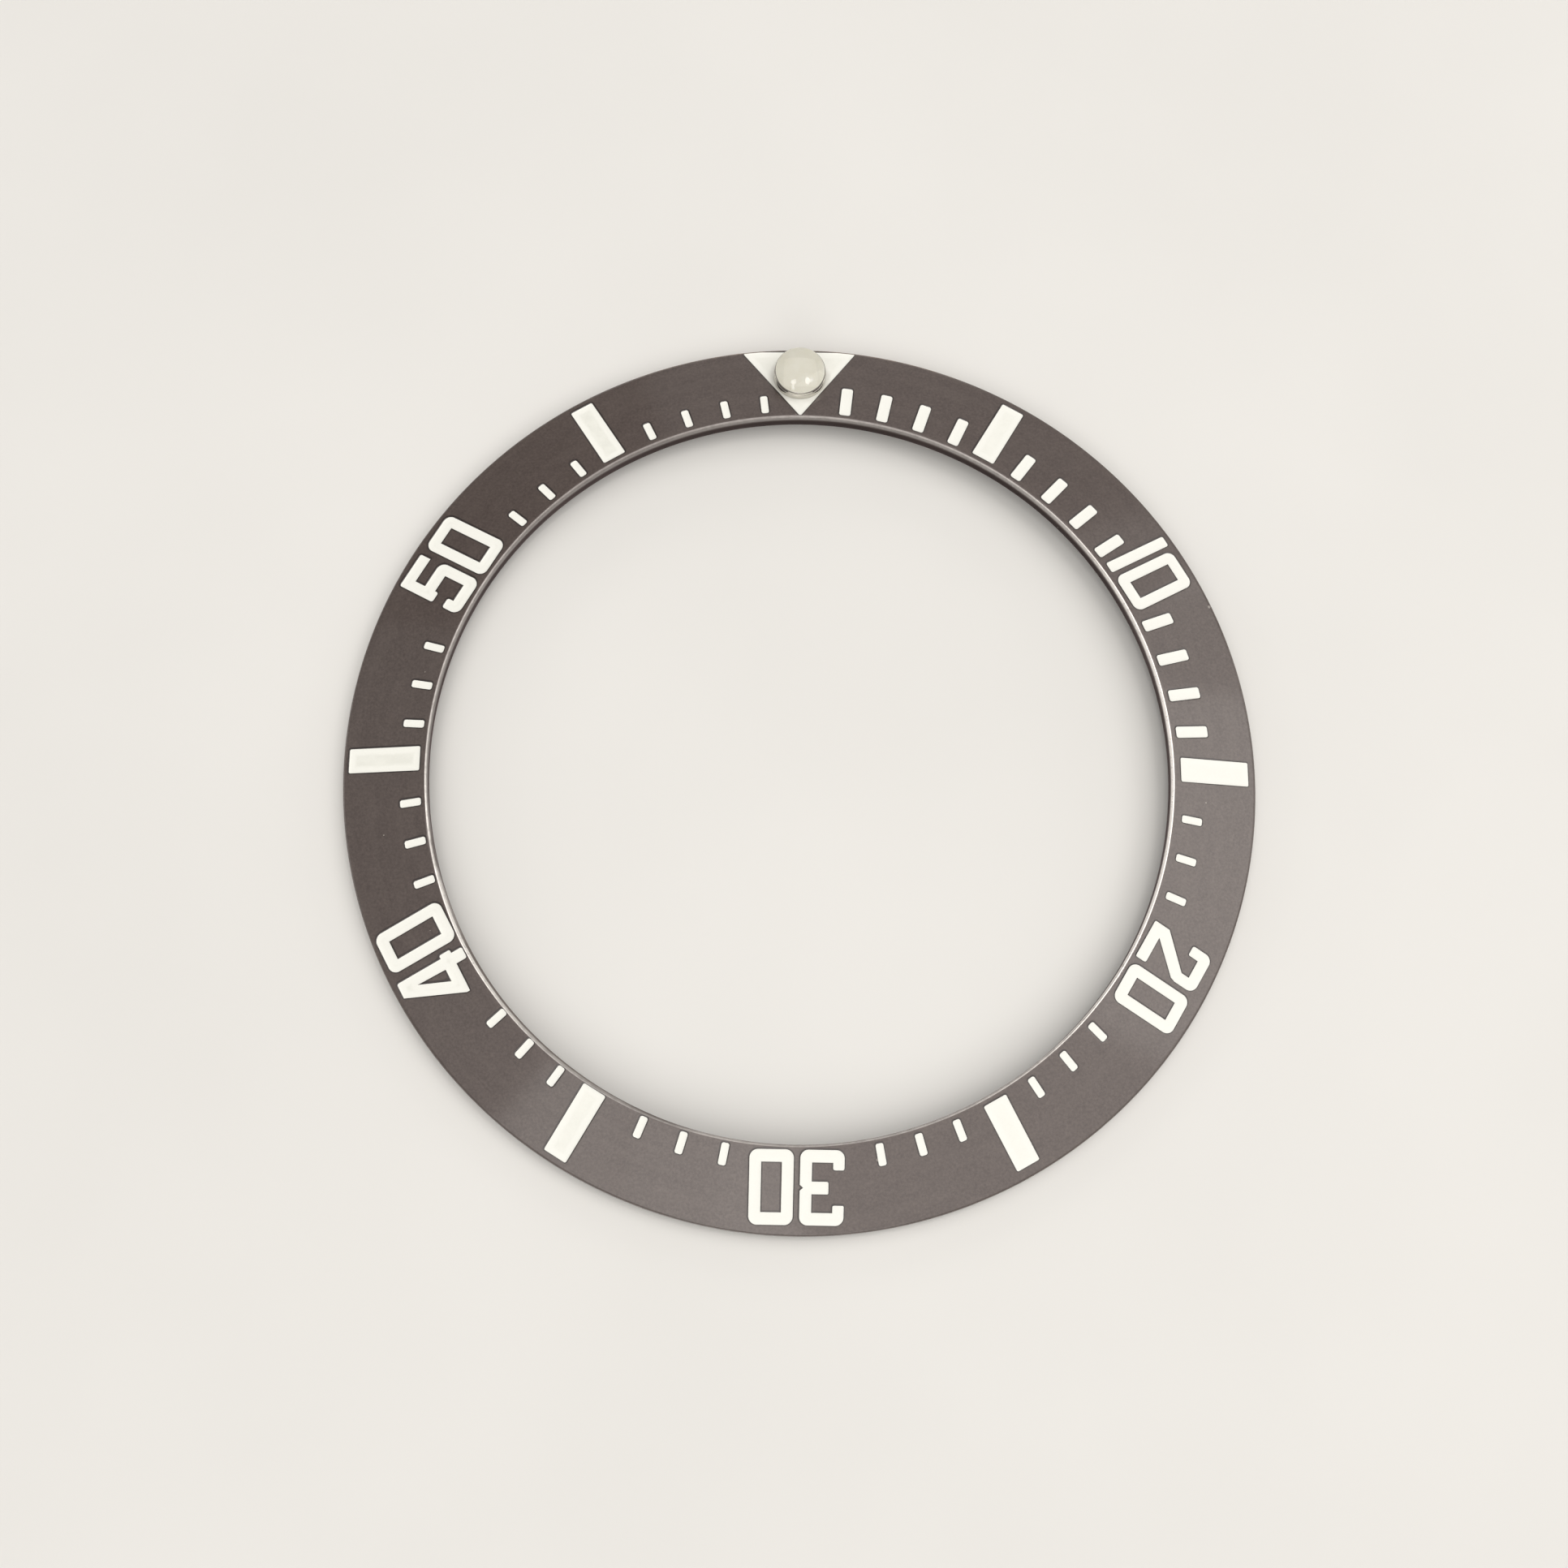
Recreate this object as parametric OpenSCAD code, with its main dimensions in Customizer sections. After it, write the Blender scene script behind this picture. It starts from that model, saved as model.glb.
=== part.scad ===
// Conical minute-scale insert for a diving watch bezel.
// Frame: origin at the centre of the ring, on the surface the ring rests on.
// +Z up through the ring, +Y towards the 12 o'clock triangle, +X towards 15 minutes.
// Millimetres throughout.

/* [Ring] */
// Outside diameter, which drops into the bezel recess
ring_od = 38.0; // [37.6:0.1:39.4]
// Inside diameter, which goes round the crystal retaining ring
ring_id = 30.8; // [30.3:0.1:30.9]
// Height of the printed face at the outside edge
rim_h = 0.75; // [0.65:0.05:1.1]
// Slope of the printed face, in degrees from flat
slope = 14.5; // [12:0.5:17]
// Wall thickness, measured straight up
wall_t = 0.82; // [0.75:0.05:0.95]
// Width of the flat seat under the outside edge
seat_w = 0.55; // [0.3:0.05:0.7]
// Radius of the rounded top edge of the hole
lip_r = 0.11; // [0.08:0.01:0.13]
// Radius of the rounded top edge at the outside
rim_r = 0.13; // [0.05:0.01:0.14]

/* [Engraving] */
// Depth of the engraved pockets, measured straight down
pocket_d = 0.14; // [0.1:0.01:0.15]
// How far the paint lies below the printed face
paint_drop = 0.035; // [0.02:0.005:0.06]
// How far the marks stray from an even six-degree step: 1 as made, 0 for a perfect scale
wander = 1; // [0:0.1:1]

/* [Minute marks] */
// Width of the broad bars at 5, 15, 25, 35, 45 and 55 minutes
bar_w = 1.03; // [0.8:0.01:1.2]
// Radius where the bars begin
bar_r0 = 15.69; // [15.6:0.01:16]
// Radius where the bars end
bar_r1 = 18.70; // [18:0.01:18.75]
// Width of the bold ticks of the first quarter
bold_w = 0.49; // [0.3:0.01:0.6]
// Radius where the bold ticks begin
bold_r0 = 15.62; // [15.6:0.01:16]
// Radius where the bold ticks end
bold_r1 = 17.02; // [16.6:0.01:17.6]
// Width of the fine ticks of the other three quarters
fine_w = 0.32; // [0.2:0.01:0.45]
// Radius where the fine ticks begin
fine_r0 = 15.70; // [15.6:0.01:16]
// Radius where the fine ticks end
fine_r1 = 16.58; // [16.2:0.01:17]

/* [Numerals] */
// Height of the figures
fig_h = 3.0; // [2.8:0.01:3.06]
// Width of a full-width figure
fig_w = 1.76; // [1.6:0.01:1.8]
// Width of the upright strokes
stroke_v = 0.475; // [0.4:0.005:0.5]
// Width of the level strokes
stroke_h = 0.49; // [0.4:0.005:0.52]
// Space between the two figures of a numeral
fig_gap = 0.25; // [0.2:0.01:0.3]
// Radius where the figures begin
fig_r0 = 15.64; // [15.62:0.01:15.7]

/* [Triangle and pearl] */
// Where the flat outer edge of the triangle lies, from the centre
tri_y1 = 18.86; // [18.7:0.01:18.88]
// Where the sides of the triangle would meet, from the centre
tri_y0 = 15.48; // [15.47:0.01:15.9]
// Half the length of the triangle's outer edge, before its tips are rounded
tri_half = 2.52; // [2.3:0.01:2.55]
// Diameter of the pearl's steel neck where it passes through the ring
pearl_d = 2.26; // [2.2:0.02:2.28]
// Distance of the pearl from the centre of the ring
pearl_y = 17.50; // [17.44:0.01:17.52]
// Height of the neck's lip above the surface the ring rests on
pearl_rim = 1.868; // [1.768:0.01:1.968]
// Rise of the clear dome above the lip
dome_h = 0.192; // [0.112:0.01:0.252]
// Diameter of the flange behind the ring
flange_d = 2.5; // [2.4:0.02:2.6]

/* [Hidden] */
$fn = 96;

anodised = [0.41, 0.37, 0.34];
paint    = [0.95, 0.94, 0.90];
cream    = [0.87, 0.85, 0.78];
steel    = [0.78, 0.77, 0.74];
clear    = [0.90, 0.92, 0.92, 0.45];
lacquer  = [0.62, 0.60, 0.55];

Ro = ring_od / 2;
Ri = ring_id / 2;
k  = tan(slope);
// height of the printed face at radius r
function face(r) = rim_h + (Ro - r) * k;
// height of the underside at radius r
function under(r) = face(r) - wall_t;

// Strays of the marks from their exact minute, in degrees, clockwise positive:
// [first minute, last minute, stray of the first, stray of the last, shift outwards]
tick_groups = [
    [ 1,  4,  1.00,  0.58, 0.04],
    [ 6,  9, -0.15, -0.50, 0.03],
    [11, 14,  1.25,  0.68, 0.01],
    [16, 18,  2.10,  2.10, 0.09],
    [22, 24,  1.02,  1.00, 0],
    [26, 28,  1.60,  1.28, 0],
    [32, 34, -0.48, -0.16, 0],
    [36, 38,  1.86,  1.68, 0],
    [42, 44,  0.33,  0.30, 0],
    [46, 48,  0.26,  0.27, 0],
    [52, 54, -0.05,  0.02, 0],
    [56, 59,  0.40,  0.54, 0]];
// [minute, stray, shift outwards, change of length]
bars = [[5, -0.13, 0, 0], [15, 0.53, 0, -0.03], [25, 1.22, 0, -0.14],
        [35, 2.07, 0, 0], [45, 0.95, 0.05, 0], [55, -0.39, 0, 0]];
// [minute, stray, shift outwards, change of height]
numerals = [[10, 0.10, 0, 0], [20, 1.12, -0.02, -0.17], [30, 1.15, 0.02, -0.09],
            [40, 2.03, 0.08, 0], [50, 0.95, 0.02, 0]];

// ---------- flat shapes ----------

// The sliver outside a rounded corner: corner at the origin, body towards +X +Y
module nip(r) {
    difference() {
        translate([-0.01, -0.01]) square([r + 0.01, r + 0.01]);
        translate([r, r]) circle(r, $fn = 48);
    }
}

// Rectangle from the origin with round corners
module round_rect(w, h, r) {
    difference() {
        square([w, h]);
        nip(r);
        translate([w, 0]) mirror([1, 0]) nip(r);
        translate([0, h]) mirror([0, 1]) nip(r);
        translate([w, h]) mirror([1, 0]) mirror([0, 1]) nip(r);
    }
}

module fig_0(h) {
    w = fig_w;
    difference() {
        round_rect(w, h, 0.34);
        translate([stroke_v, stroke_h]) square([w - 2 * stroke_v, h - 2 * stroke_h]);
    }
}

module fig_1(h) {
    round_rect(0.485, h + 0.04, 0.09);
}

module fig_2(h) {
    w = fig_w - 0.05;
    difference() {
        polygon([[0, 0], [w, 0], [w, stroke_h], [0.53, stroke_h],
                 [w - 0.06, 0.6 * h], [w, 0.673 * h], [w, h], [0, h],
                 [0, h - 0.95], [stroke_v - 0.03, h - 0.95], [stroke_v - 0.03, h - stroke_h],
                 [w - stroke_v, h - stroke_h], [w - stroke_v, h - 0.84], [0, 0.70]]);
        translate([0, h]) mirror([0, 1]) nip(0.33);
        translate([w, h]) mirror([1, 0]) mirror([0, 1]) nip(0.37);
        translate([0, h - 0.95]) nip(0.10);
        translate([stroke_v - 0.03, h - 0.95]) mirror([1, 0]) nip(0.06);
        nip(0.06);
        translate([w, 0]) mirror([1, 0]) nip(0.06);
        translate([w, stroke_h]) mirror([1, 0]) mirror([0, 1]) nip(0.10);
    }
}

module fig_3(h) {
    w = fig_w;
    m = h / 2 + 0.01;
    difference() {
        round_rect(w, h, 0.33);
        // upper and lower bays, open to the left past the hooks
        translate([stroke_v - 0.02, m + stroke_h / 2]) square([w - 2 * stroke_v + 0.02, h - stroke_h - m - stroke_h / 2]);
        translate([stroke_v - 0.02, stroke_h]) square([w - 2 * stroke_v + 0.02, m - 3 * stroke_h / 2]);
        // gap between the hooks
        translate([-0.1, 0.78]) square([stroke_v + 0.08, h - 1.56]);
        translate([stroke_v - 0.03, m - stroke_h / 2 - 0.01]) square([0.62 - stroke_v + 0.03, stroke_h + 0.02]);
        // small vee where the two bowls meet
        polygon([[w + 0.02, m + 0.13], [w + 0.02, m - 0.13], [w - 0.13, m]]);
        // eased corners of the hooks and the middle arm
        translate([0, 0.78]) mirror([0, 1]) nip(0.08);
        translate([stroke_v - 0.02, 0.78]) mirror([1, 0]) mirror([0, 1]) nip(0.08);
        translate([0, h - 0.78]) nip(0.06);
        translate([stroke_v - 0.02, h - 0.78]) mirror([1, 0]) nip(0.06);
        translate([0.62, m - stroke_h / 2]) nip(0.08);
        translate([0.62, m + stroke_h / 2]) mirror([0, 1]) nip(0.05);
    }
}

module fig_4(h) {
    w = 1.86;
    x1 = 1.71;                  // right edge of the upright
    x0 = x1 - stroke_v;         // left edge of the upright
    difference() {
        polygon([[x0 - 0.01, 0], [x1, 0], [x1, 0.48], [w, 0.48], [w, 0.97], [x1, 0.97],
                 [x1, h], [1.06, h], [0, 0.62], [0, 0.48], [x0 - 0.01, 0.48]]);
        polygon([[x0 + 0.025, 2.25], [x0 - 0.01, 0.98], [0.70, 0.98]]);
        translate([x0 - 0.01, 0]) nip(0.08);
        translate([x1, 0]) mirror([1, 0]) nip(0.08);
        translate([x1, h]) mirror([1, 0]) mirror([0, 1]) nip(0.09);
        translate([w, 0.48]) mirror([1, 0]) nip(0.07);
        translate([w, 0.97]) mirror([1, 0]) mirror([0, 1]) nip(0.07);
    }
}

module fig_5(h) {
    w = fig_w - 0.03;
    difference() {
        union() {
            // flag and upright
            difference() {
                round_rect(w - 0.10, h, 0.08);
                translate([stroke_v, -0.1]) square([w, h - stroke_h - 0.01 + 0.1]);
                translate([-0.1, -0.1]) square([w, 1.41]);
                translate([0, 1.31]) nip(0.10);
                translate([stroke_v, 1.31]) mirror([1, 0]) nip(0.10);
            }
            // bowl
            difference() {
                translate([0, 0]) round_rect(w, 2.0, 0.36);
                translate([stroke_v - 0.02, 0.52]) square([w - 2 * stroke_v + 0.02, 0.96]);
                translate([-0.1, 0.80]) square([stroke_v + 0.08, 0.67]);
                translate([-0.1, 1.3]) square([0.2, 0.8]);
                translate([0, 0.80]) mirror([0, 1]) nip(0.10);
                translate([stroke_v - 0.02, 0.80]) mirror([1, 0]) mirror([0, 1]) nip(0.10);
            }
        }
    }
}

module figure(n, h) {
    if (n == 0) fig_0(h);
    if (n == 1) fig_1(h);
    if (n == 2) fig_2(h);
    if (n == 3) fig_3(h);
    if (n == 4) fig_4(h);
    if (n == 5) fig_5(h);
}

function fig_width(n) = n == 1 ? 0.485 : n == 2 ? fig_w - 0.05 : n == 4 ? 1.86 : n == 5 ? fig_w - 0.03 : fig_w;

// Two-figure numeral, tops outwards, centred on its own minute
module numeral_flat(i) {
    q = numerals[i];
    lead = q[0] / 10;
    gap = lead == 4 ? fig_gap + 0.01 : fig_gap;
    w = fig_width(lead) + gap + fig_w;
    h = fig_h + wander * q[3];
    rotate(-(q[0] * 6 + wander * q[1]))
        translate([-w / 2, fig_r0 + wander * q[2]]) {
            figure(lead, h);
            translate([fig_width(lead) + gap, 0]) figure(0, h);
        }
}

// Radial bar or tick, centred on the angle, clockwise from 12 o'clock
module mark_flat(angle, w, r0, r1, r) {
    rotate(-angle) translate([-w / 2, r0]) round_rect(w, r1 - r0, r);
}

module bar_flat(i) {
    b = bars[i];
    mark_flat(b[0] * 6 + wander * b[1], bar_w,
              bar_r0 + wander * b[2], bar_r1 + wander * (b[2] + b[3]), 0.07);
}

module ticks_flat(i) {
    g = tick_groups[i];
    for (m = [g[0] : g[1]]) {
        a = m * 6 + wander * (g[2] + (g[3] - g[2]) * (m - g[0]) / (g[1] - g[0]));
        d = wander * g[4];
        if (m < 15) mark_flat(a, bold_w, bold_r0 + d, bold_r1 + d, 0.10);
        else        mark_flat(a, fine_w, fine_r0 + d, fine_r1 + d, 0.09);
    }
}

// Triangle with its point inwards; the three tips are cut back and eased
module triangle_flat() {
    s = tri_half / (tri_y1 - tri_y0);
    t = 0.10;                     // cut at the two outer tips
    b = 0.06;                     // cut at the point
    polygon([[-(tri_half - 0.17), tri_y1], [tri_half - 0.17, tri_y1],
             [tri_half - 0.10, tri_y1 - 0.04], [tri_half - t * s - 0.03, tri_y1 - t - 0.03],
             [b * s, tri_y0 + b], [-b * s, tri_y0 + b],
             [-(tri_half - t * s - 0.03), tri_y1 - t - 0.03], [-(tri_half - 0.10), tri_y1 - 0.04]]);
}

// ---------- the printed face as a solid layer ----------

// Ring-shaped layer that follows the slope, from d0 to d1 below the printed face
module layer(d0, d1) {
    rotate_extrude($fn = 360)
        polygon([[15.42, face(15.42) - d0], [18.97, face(18.97) - d0],
                 [18.97, face(18.97) - d1], [15.42, face(15.42) - d1]]);
}

// Flat shape sunk into the face as a pocket
module sink() {
    intersection() {
        linear_extrude(height = 4) children();
        layer(pocket_d, -0.6);
    }
}

// Flat shape as a layer of paint on the pocket floor
module fill() {
    color(paint) intersection() {
        linear_extrude(height = 4) children();
        layer(pocket_d, paint_drop);
    }
}

// ---------- pieces ----------

module ring_section() {
    lip_x = Ri + lip_r;
    rim_x = Ro - rim_r;
    difference() {
        union() {
            polygon([[Ro - seat_w, 0], [Ro - 0.06, 0], [Ro, 0.06], [Ro, face(rim_x) - rim_r],
                     [rim_x, face(rim_x)], [lip_x, face(lip_x)], [Ri, face(lip_x) - lip_r],
                     [Ri, under(Ri) + 0.05], [Ri + 0.05, under(Ri + 0.05)],
                     [Ro - seat_w - 0.02, under(Ro - seat_w - 0.02) > 0.02 ? under(Ro - seat_w - 0.02) : 0.02]]);
            translate([lip_x, face(lip_x) - lip_r]) circle(lip_r, $fn = 64);
            translate([rim_x, face(rim_x) - rim_r]) circle(rim_r, $fn = 64);
        }
    }
}

// Hole for the pearl's neck, and a seat for its flange, with a little room all round
module pearl_hole() {
    translate([0, pearl_y, -0.5]) cylinder(d = pearl_d + 0.02, h = 4);
    translate([0, pearl_y, -0.5]) cylinder(d = flange_d + 0.04, h = 0.5 + 0.42);
}

module insert_ring() {
    color(anodised) difference() {
        rotate_extrude($fn = 360) ring_section();
        sink() triangle_flat();
        for (i = [0 : 4]) sink() numeral_flat(i);
        for (i = [0 : 5]) sink() bar_flat(i);
        for (i = [0 : 11]) sink() ticks_flat(i);
        pearl_hole();
    }
}

module triangle_fill() {
    color(paint) difference() {
        fill() triangle_flat();
        translate([0, pearl_y, -0.5]) cylinder(d = pearl_d + 0.02, h = 4);
    }
}

// Polished cup that carries the pearl: flange behind the ring, neck that tapers above the
// paint, a small step, and a thin lip round a ledge for the dome
module pearl_sleeve() {
    r = pearl_d / 2;
    z = pearl_rim;
    color(steel) translate([0, pearl_y, 0]) rotate_extrude($fn = 96)
        polygon([[r - 0.165, 0.12], [flange_d / 2, 0.12], [flange_d / 2, 0.42], [r, 0.42],
                 [r, z - 0.49], [r - 0.017, z - 0.225], [r - 0.0355, z - 0.2], [r - 0.0385, z - 0.035],
                 [r - 0.063, z], [r - 0.067, z], [r - 0.067, z - 0.028], [r - 0.165, z - 0.028]]);
}

// Clear dome, seated on the compound inside the lip
module pearl_lens() {
    r = pearl_d / 2 - 0.07;
    e = 0.02;                                  // eased rim
    z0 = pearl_rim - 0.002;                    // underside
    z1 = pearl_rim + 0.025;                    // where the dome's curve meets its side
    top = pearl_rim + dome_h;
    sag = top - z1;
    sag_r = (r * r + sag * sag) / (2 * sag);
    color(clear) translate([0, pearl_y, 0]) rotate_extrude($fn = 96)
        intersection() {
            polygon([[0, z0], [r, z0], [r, z1 - e], [r - e, z1 + 0.002], [r - e, z1 + 1], [0, z1 + 1]]);
            translate([0, top - sag_r]) circle(sag_r, $fn = 720);
        }
}

// Luminous compound: fills the cup and spreads over its ledge
module pearl_lume() {
    r = pearl_d / 2;
    z = pearl_rim - 0.028;
    color(cream) translate([0, pearl_y, 0]) rotate_extrude($fn = 96)
        polygon([[0, 0.30], [r - 0.165, 0.30], [r - 0.165, z], [r - 0.07, z],
                 [r - 0.07, z + 0.026], [0, z + 0.026]]);
}

module pearl_back_seal() {
    color(lacquer) translate([0, pearl_y, 0.16])
        cylinder(r = pearl_d / 2 - 0.165, h = 0.14);
}

insert_ring();
triangle_fill();
fill() numeral_flat(0);  // numeral_10_fill
fill() numeral_flat(1);  // numeral_20_fill
fill() numeral_flat(2);  // numeral_30_fill
fill() numeral_flat(3);  // numeral_40_fill
fill() numeral_flat(4);  // numeral_50_fill
fill() bar_flat(0);  // bar_05_fill
fill() bar_flat(1);  // bar_15_fill
fill() bar_flat(2);  // bar_25_fill
fill() bar_flat(3);  // bar_35_fill
fill() bar_flat(4);  // bar_45_fill
fill() bar_flat(5);  // bar_55_fill
fill() ticks_flat(0);  // ticks_01_04_fill
fill() ticks_flat(1);  // ticks_06_09_fill
fill() ticks_flat(2);  // ticks_11_14_fill
fill() ticks_flat(3);  // ticks_16_18_fill
fill() ticks_flat(4);  // ticks_22_24_fill
fill() ticks_flat(5);  // ticks_26_28_fill
fill() ticks_flat(6);  // ticks_32_34_fill
fill() ticks_flat(7);  // ticks_36_38_fill
fill() ticks_flat(8);  // ticks_42_44_fill
fill() ticks_flat(9);  // ticks_46_48_fill
fill() ticks_flat(10);  // ticks_52_54_fill
fill() ticks_flat(11);  // ticks_56_59_fill
pearl_sleeve();
pearl_lens();
pearl_lume();
pearl_back_seal();
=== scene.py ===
import math

import bpy
import numpy as np
from mathutils import Matrix, Vector
from mathutils.geometry import delaunay_2d_cdt


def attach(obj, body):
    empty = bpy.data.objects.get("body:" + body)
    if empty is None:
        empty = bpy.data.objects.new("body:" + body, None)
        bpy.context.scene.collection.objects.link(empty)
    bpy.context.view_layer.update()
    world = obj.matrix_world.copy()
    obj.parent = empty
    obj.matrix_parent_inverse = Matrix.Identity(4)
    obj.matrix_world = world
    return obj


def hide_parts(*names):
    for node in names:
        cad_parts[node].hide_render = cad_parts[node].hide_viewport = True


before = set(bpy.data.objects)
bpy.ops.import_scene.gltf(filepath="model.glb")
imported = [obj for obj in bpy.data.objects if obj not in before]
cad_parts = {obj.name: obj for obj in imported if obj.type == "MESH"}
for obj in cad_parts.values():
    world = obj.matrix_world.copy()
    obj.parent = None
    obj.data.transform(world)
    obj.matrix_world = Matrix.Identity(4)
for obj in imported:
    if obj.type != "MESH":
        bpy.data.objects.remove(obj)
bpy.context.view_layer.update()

MM = 0.001

# ------------------------------------------------------------------ sizes, in mm
RO, RI = 19.0, 15.4
RIM_H, WALL_T, SEAT_W = 0.75, 0.82, 0.55
SLOPE = math.radians(14.5)
K = math.tan(SLOPE)
LIP_R, RIM_R = 0.11, 0.13
POCKET = 0.14
PEARL_Y, SLEEVE_R, HOLE_R, FLANGE_R, DOME_TOP = 17.50, 1.13, 1.14, 1.25, 2.06
N_ANG = 720

FIG_H, FIG_W, SV, SH, GAP, FIG_R0 = 3.0, 1.76, 0.475, 0.49, 0.25, 15.64

TICKS = {  # first, last, stray of the first and last in degrees, shift outwards
    "ticks_01_04_fill": (1, 4, 1.00, 0.58, 0.04),
    "ticks_06_09_fill": (6, 9, -0.15, -0.50, 0.03),
    "ticks_11_14_fill": (11, 14, 1.25, 0.68, 0.01),
    "ticks_16_18_fill": (16, 18, 2.10, 2.10, 0.09),
    "ticks_22_24_fill": (22, 24, 1.02, 1.00, 0.0),
    "ticks_26_28_fill": (26, 28, 1.60, 1.28, 0.0),
    "ticks_32_34_fill": (32, 34, -0.48, -0.16, 0.0),
    "ticks_36_38_fill": (36, 38, 1.86, 1.68, 0.0),
    "ticks_42_44_fill": (42, 44, 0.33, 0.30, 0.0),
    "ticks_46_48_fill": (46, 48, 0.26, 0.27, 0.0),
    "ticks_52_54_fill": (52, 54, -0.05, 0.02, 0.0),
    "ticks_56_59_fill": (56, 59, 0.40, 0.54, 0.0),
}
BARS = {5: (-0.13, 0.0, 0.0), 15: (0.53, 0.0, -0.03), 25: (1.22, 0.0, -0.14),
        35: (2.07, 0.0, 0.0), 45: (0.95, 0.05, 0.0), 55: (-0.39, 0.0, 0.0)}
NUMERALS = {10: (0.10, 0.0, 0.0), 20: (1.12, -0.02, -0.17), 30: (1.15, 0.02, -0.09),
            40: (2.03, 0.08, 0.0), 50: (0.95, 0.02, 0.0)}


def face(r):
    """Height of the printed face at radius r."""
    return RIM_H + (RO - r) * K


LIP_X = RI + LIP_R
LIP_Z = face(LIP_X) - LIP_R / math.cos(SLOPE)
LIP_T = LIP_X + LIP_R * math.sin(SLOPE)
RIM_X = RO - RIM_R
RIM_Z = face(RIM_X) - RIM_R / math.cos(SLOPE)
RIM_T = RIM_X + RIM_R * math.sin(SLOPE)


def prof(r):
    """Height of the ring's upper surface at radius r, with its rounded lip and rim."""
    r = np.asarray(r, float)
    z = face(r)
    a = np.clip(LIP_R ** 2 - (r - LIP_X) ** 2, 0, None)
    b = np.clip(RIM_R ** 2 - (r - RIM_X) ** 2, 0, None)
    z = np.where(r < LIP_T, LIP_Z + np.sqrt(a), z)
    return np.where(r > RIM_T, RIM_Z + np.sqrt(b), z)


# ------------------------------------------------------------------ outlines of the marks
def rounded(corners, step=0.15):
    """Closed outline from corners (x, y, radius). Paint lies on its left."""
    n = len(corners)
    runs = []
    for i in range(n):
        p = np.array(corners[i - 1][:2], float)
        c = np.array(corners[i][:2], float)
        q = np.array(corners[(i + 1) % n][:2], float)
        r = corners[i][2]
        u = (p - c) / np.linalg.norm(p - c)
        v = (q - c) / np.linalg.norm(q - c)
        if r <= 0:
            runs.append(c[None])
            continue
        half = math.acos(max(-1.0, min(1.0, float(u @ v)))) / 2
        d = r / math.tan(half)
        m = (u + v) / np.linalg.norm(u + v)
        o = c + m * (r / math.sin(half))
        a, b = c + u * d - o, c + v * d - o
        t0 = math.atan2(a[1], a[0])
        dt = (math.atan2(b[1], b[0]) - t0 + math.pi) % (2 * math.pi) - math.pi
        k = max(4, int(abs(dt) * r / 0.035) + 1)
        t = t0 + dt * np.linspace(0, 1, k + 1)
        runs.append(o + r * np.stack([np.cos(t), np.sin(t)], 1))
    out = []
    for i in range(n):
        out.extend(runs[i])
        a, b = runs[i][-1], runs[(i + 1) % n][0]
        k = int(np.linalg.norm(b - a) / step)
        for j in range(1, k + 1):
            out.append(a + (b - a) * j / (k + 1))
    out = np.array(out)
    keep = np.linalg.norm(out - np.roll(out, 1, 0), axis=1) > 1e-4
    return out[keep]


def box_corners(w, h, r):
    return [(0, 0, r), (w, 0, r), (w, h, r), (0, h, r)]


def figure(n, h):
    """Outlines of a figure, lower left corner at the origin: (loops, width)."""
    if n == 0:
        w = FIG_W
        return [rounded(box_corners(w, h, 0.34)),
                rounded([(SV, SH, 0), (SV, h - SH, 0), (w - SV, h - SH, 0), (w - SV, SH, 0)])], w
    if n == 1:
        return [rounded(box_corners(0.485, h + 0.04, 0.09))], 0.485
    if n == 2:
        w = FIG_W - 0.05
        return [rounded([(0, 0, .06), (w, 0, .06), (w, SH, .10), (.53, SH, 0), (w - .06, .6 * h, 0),
                         (w, .673 * h, 0), (w, h, .37), (0, h, .33), (0, h - .95, .10),
                         (SV - .03, h - .95, .06), (SV - .03, h - SH, 0), (w - SV, h - SH, 0),
                         (w - SV, h - .84, 0), (0, .70, 0)])], w
    if n == 3:
        w, m = FIG_W, h / 2 + 0.01
        return [rounded([(0, 0, .33), (w, 0, .33), (w, m - .1127, .02), (w - .13, m, 0), (w, m + .1127, .02),
                         (w, h, .33), (0, h, .33), (0, h - .78, .06), (SV - .02, h - .78, .06),
                         (SV - .02, h - SH, 0), (w - SV, h - SH, 0), (w - SV, m + SH / 2, 0),
                         (.62, m + SH / 2, .05), (.62, m - SH / 2, .08), (w - SV, m - SH / 2, 0),
                         (w - SV, SH, 0), (SV - .02, SH, 0), (SV - .02, .78, .08), (0, .78, .08)])], w
    if n == 4:
        w, x1, xl = 1.86, 1.71, 1.225
        return [rounded([(xl, 0, .08), (x1, 0, .08), (x1, .48, 0), (w, .48, .07), (w, .97, .07), (x1, .97, 0),
                         (x1, h, .09), (1.06, h, 0), (0, .62, 0), (0, .48, 0), (xl, .48, 0)]),
                rounded([(xl + 0.035, 2.25, 0), (xl, .98, 0), (.70, .98, 0)][::-1])], w
    w = FIG_W - 0.03
    return [rounded([(0, 0, .36), (w, 0, .36), (w, 2.0, .36), (SV, 2.0, 0), (SV, h - .5, 0), (1.63, h - .5, .01),
                     (1.63, h, .08), (0, h, .08), (0, 1.31, .10), (SV, 1.31, .10), (SV, 1.48, 0),
                     (w - SV, 1.48, 0), (w - SV, .52, 0), (SV - .02, .52, 0), (SV - .02, .80, .10), (0, .80, .10)])], w


def area(p):
    x, y = p[:, 0], p[:, 1]
    return 0.5 * float(np.sum(x * np.roll(y, -1) - y * np.roll(x, -1)))


def oriented(loops):
    """Outer loop counter-clockwise, holes clockwise, so the paint is on the left everywhere."""
    return [p if (area(p) > 0) == (i == 0) else p[::-1] for i, p in enumerate(loops)]


def turned(loops, dx, dy, angle):
    a = -math.radians(angle)
    m = np.array([[math.cos(a), math.sin(a)], [-math.sin(a), math.cos(a)]])
    return [(p + (dx, dy)) @ m for p in loops]


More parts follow.
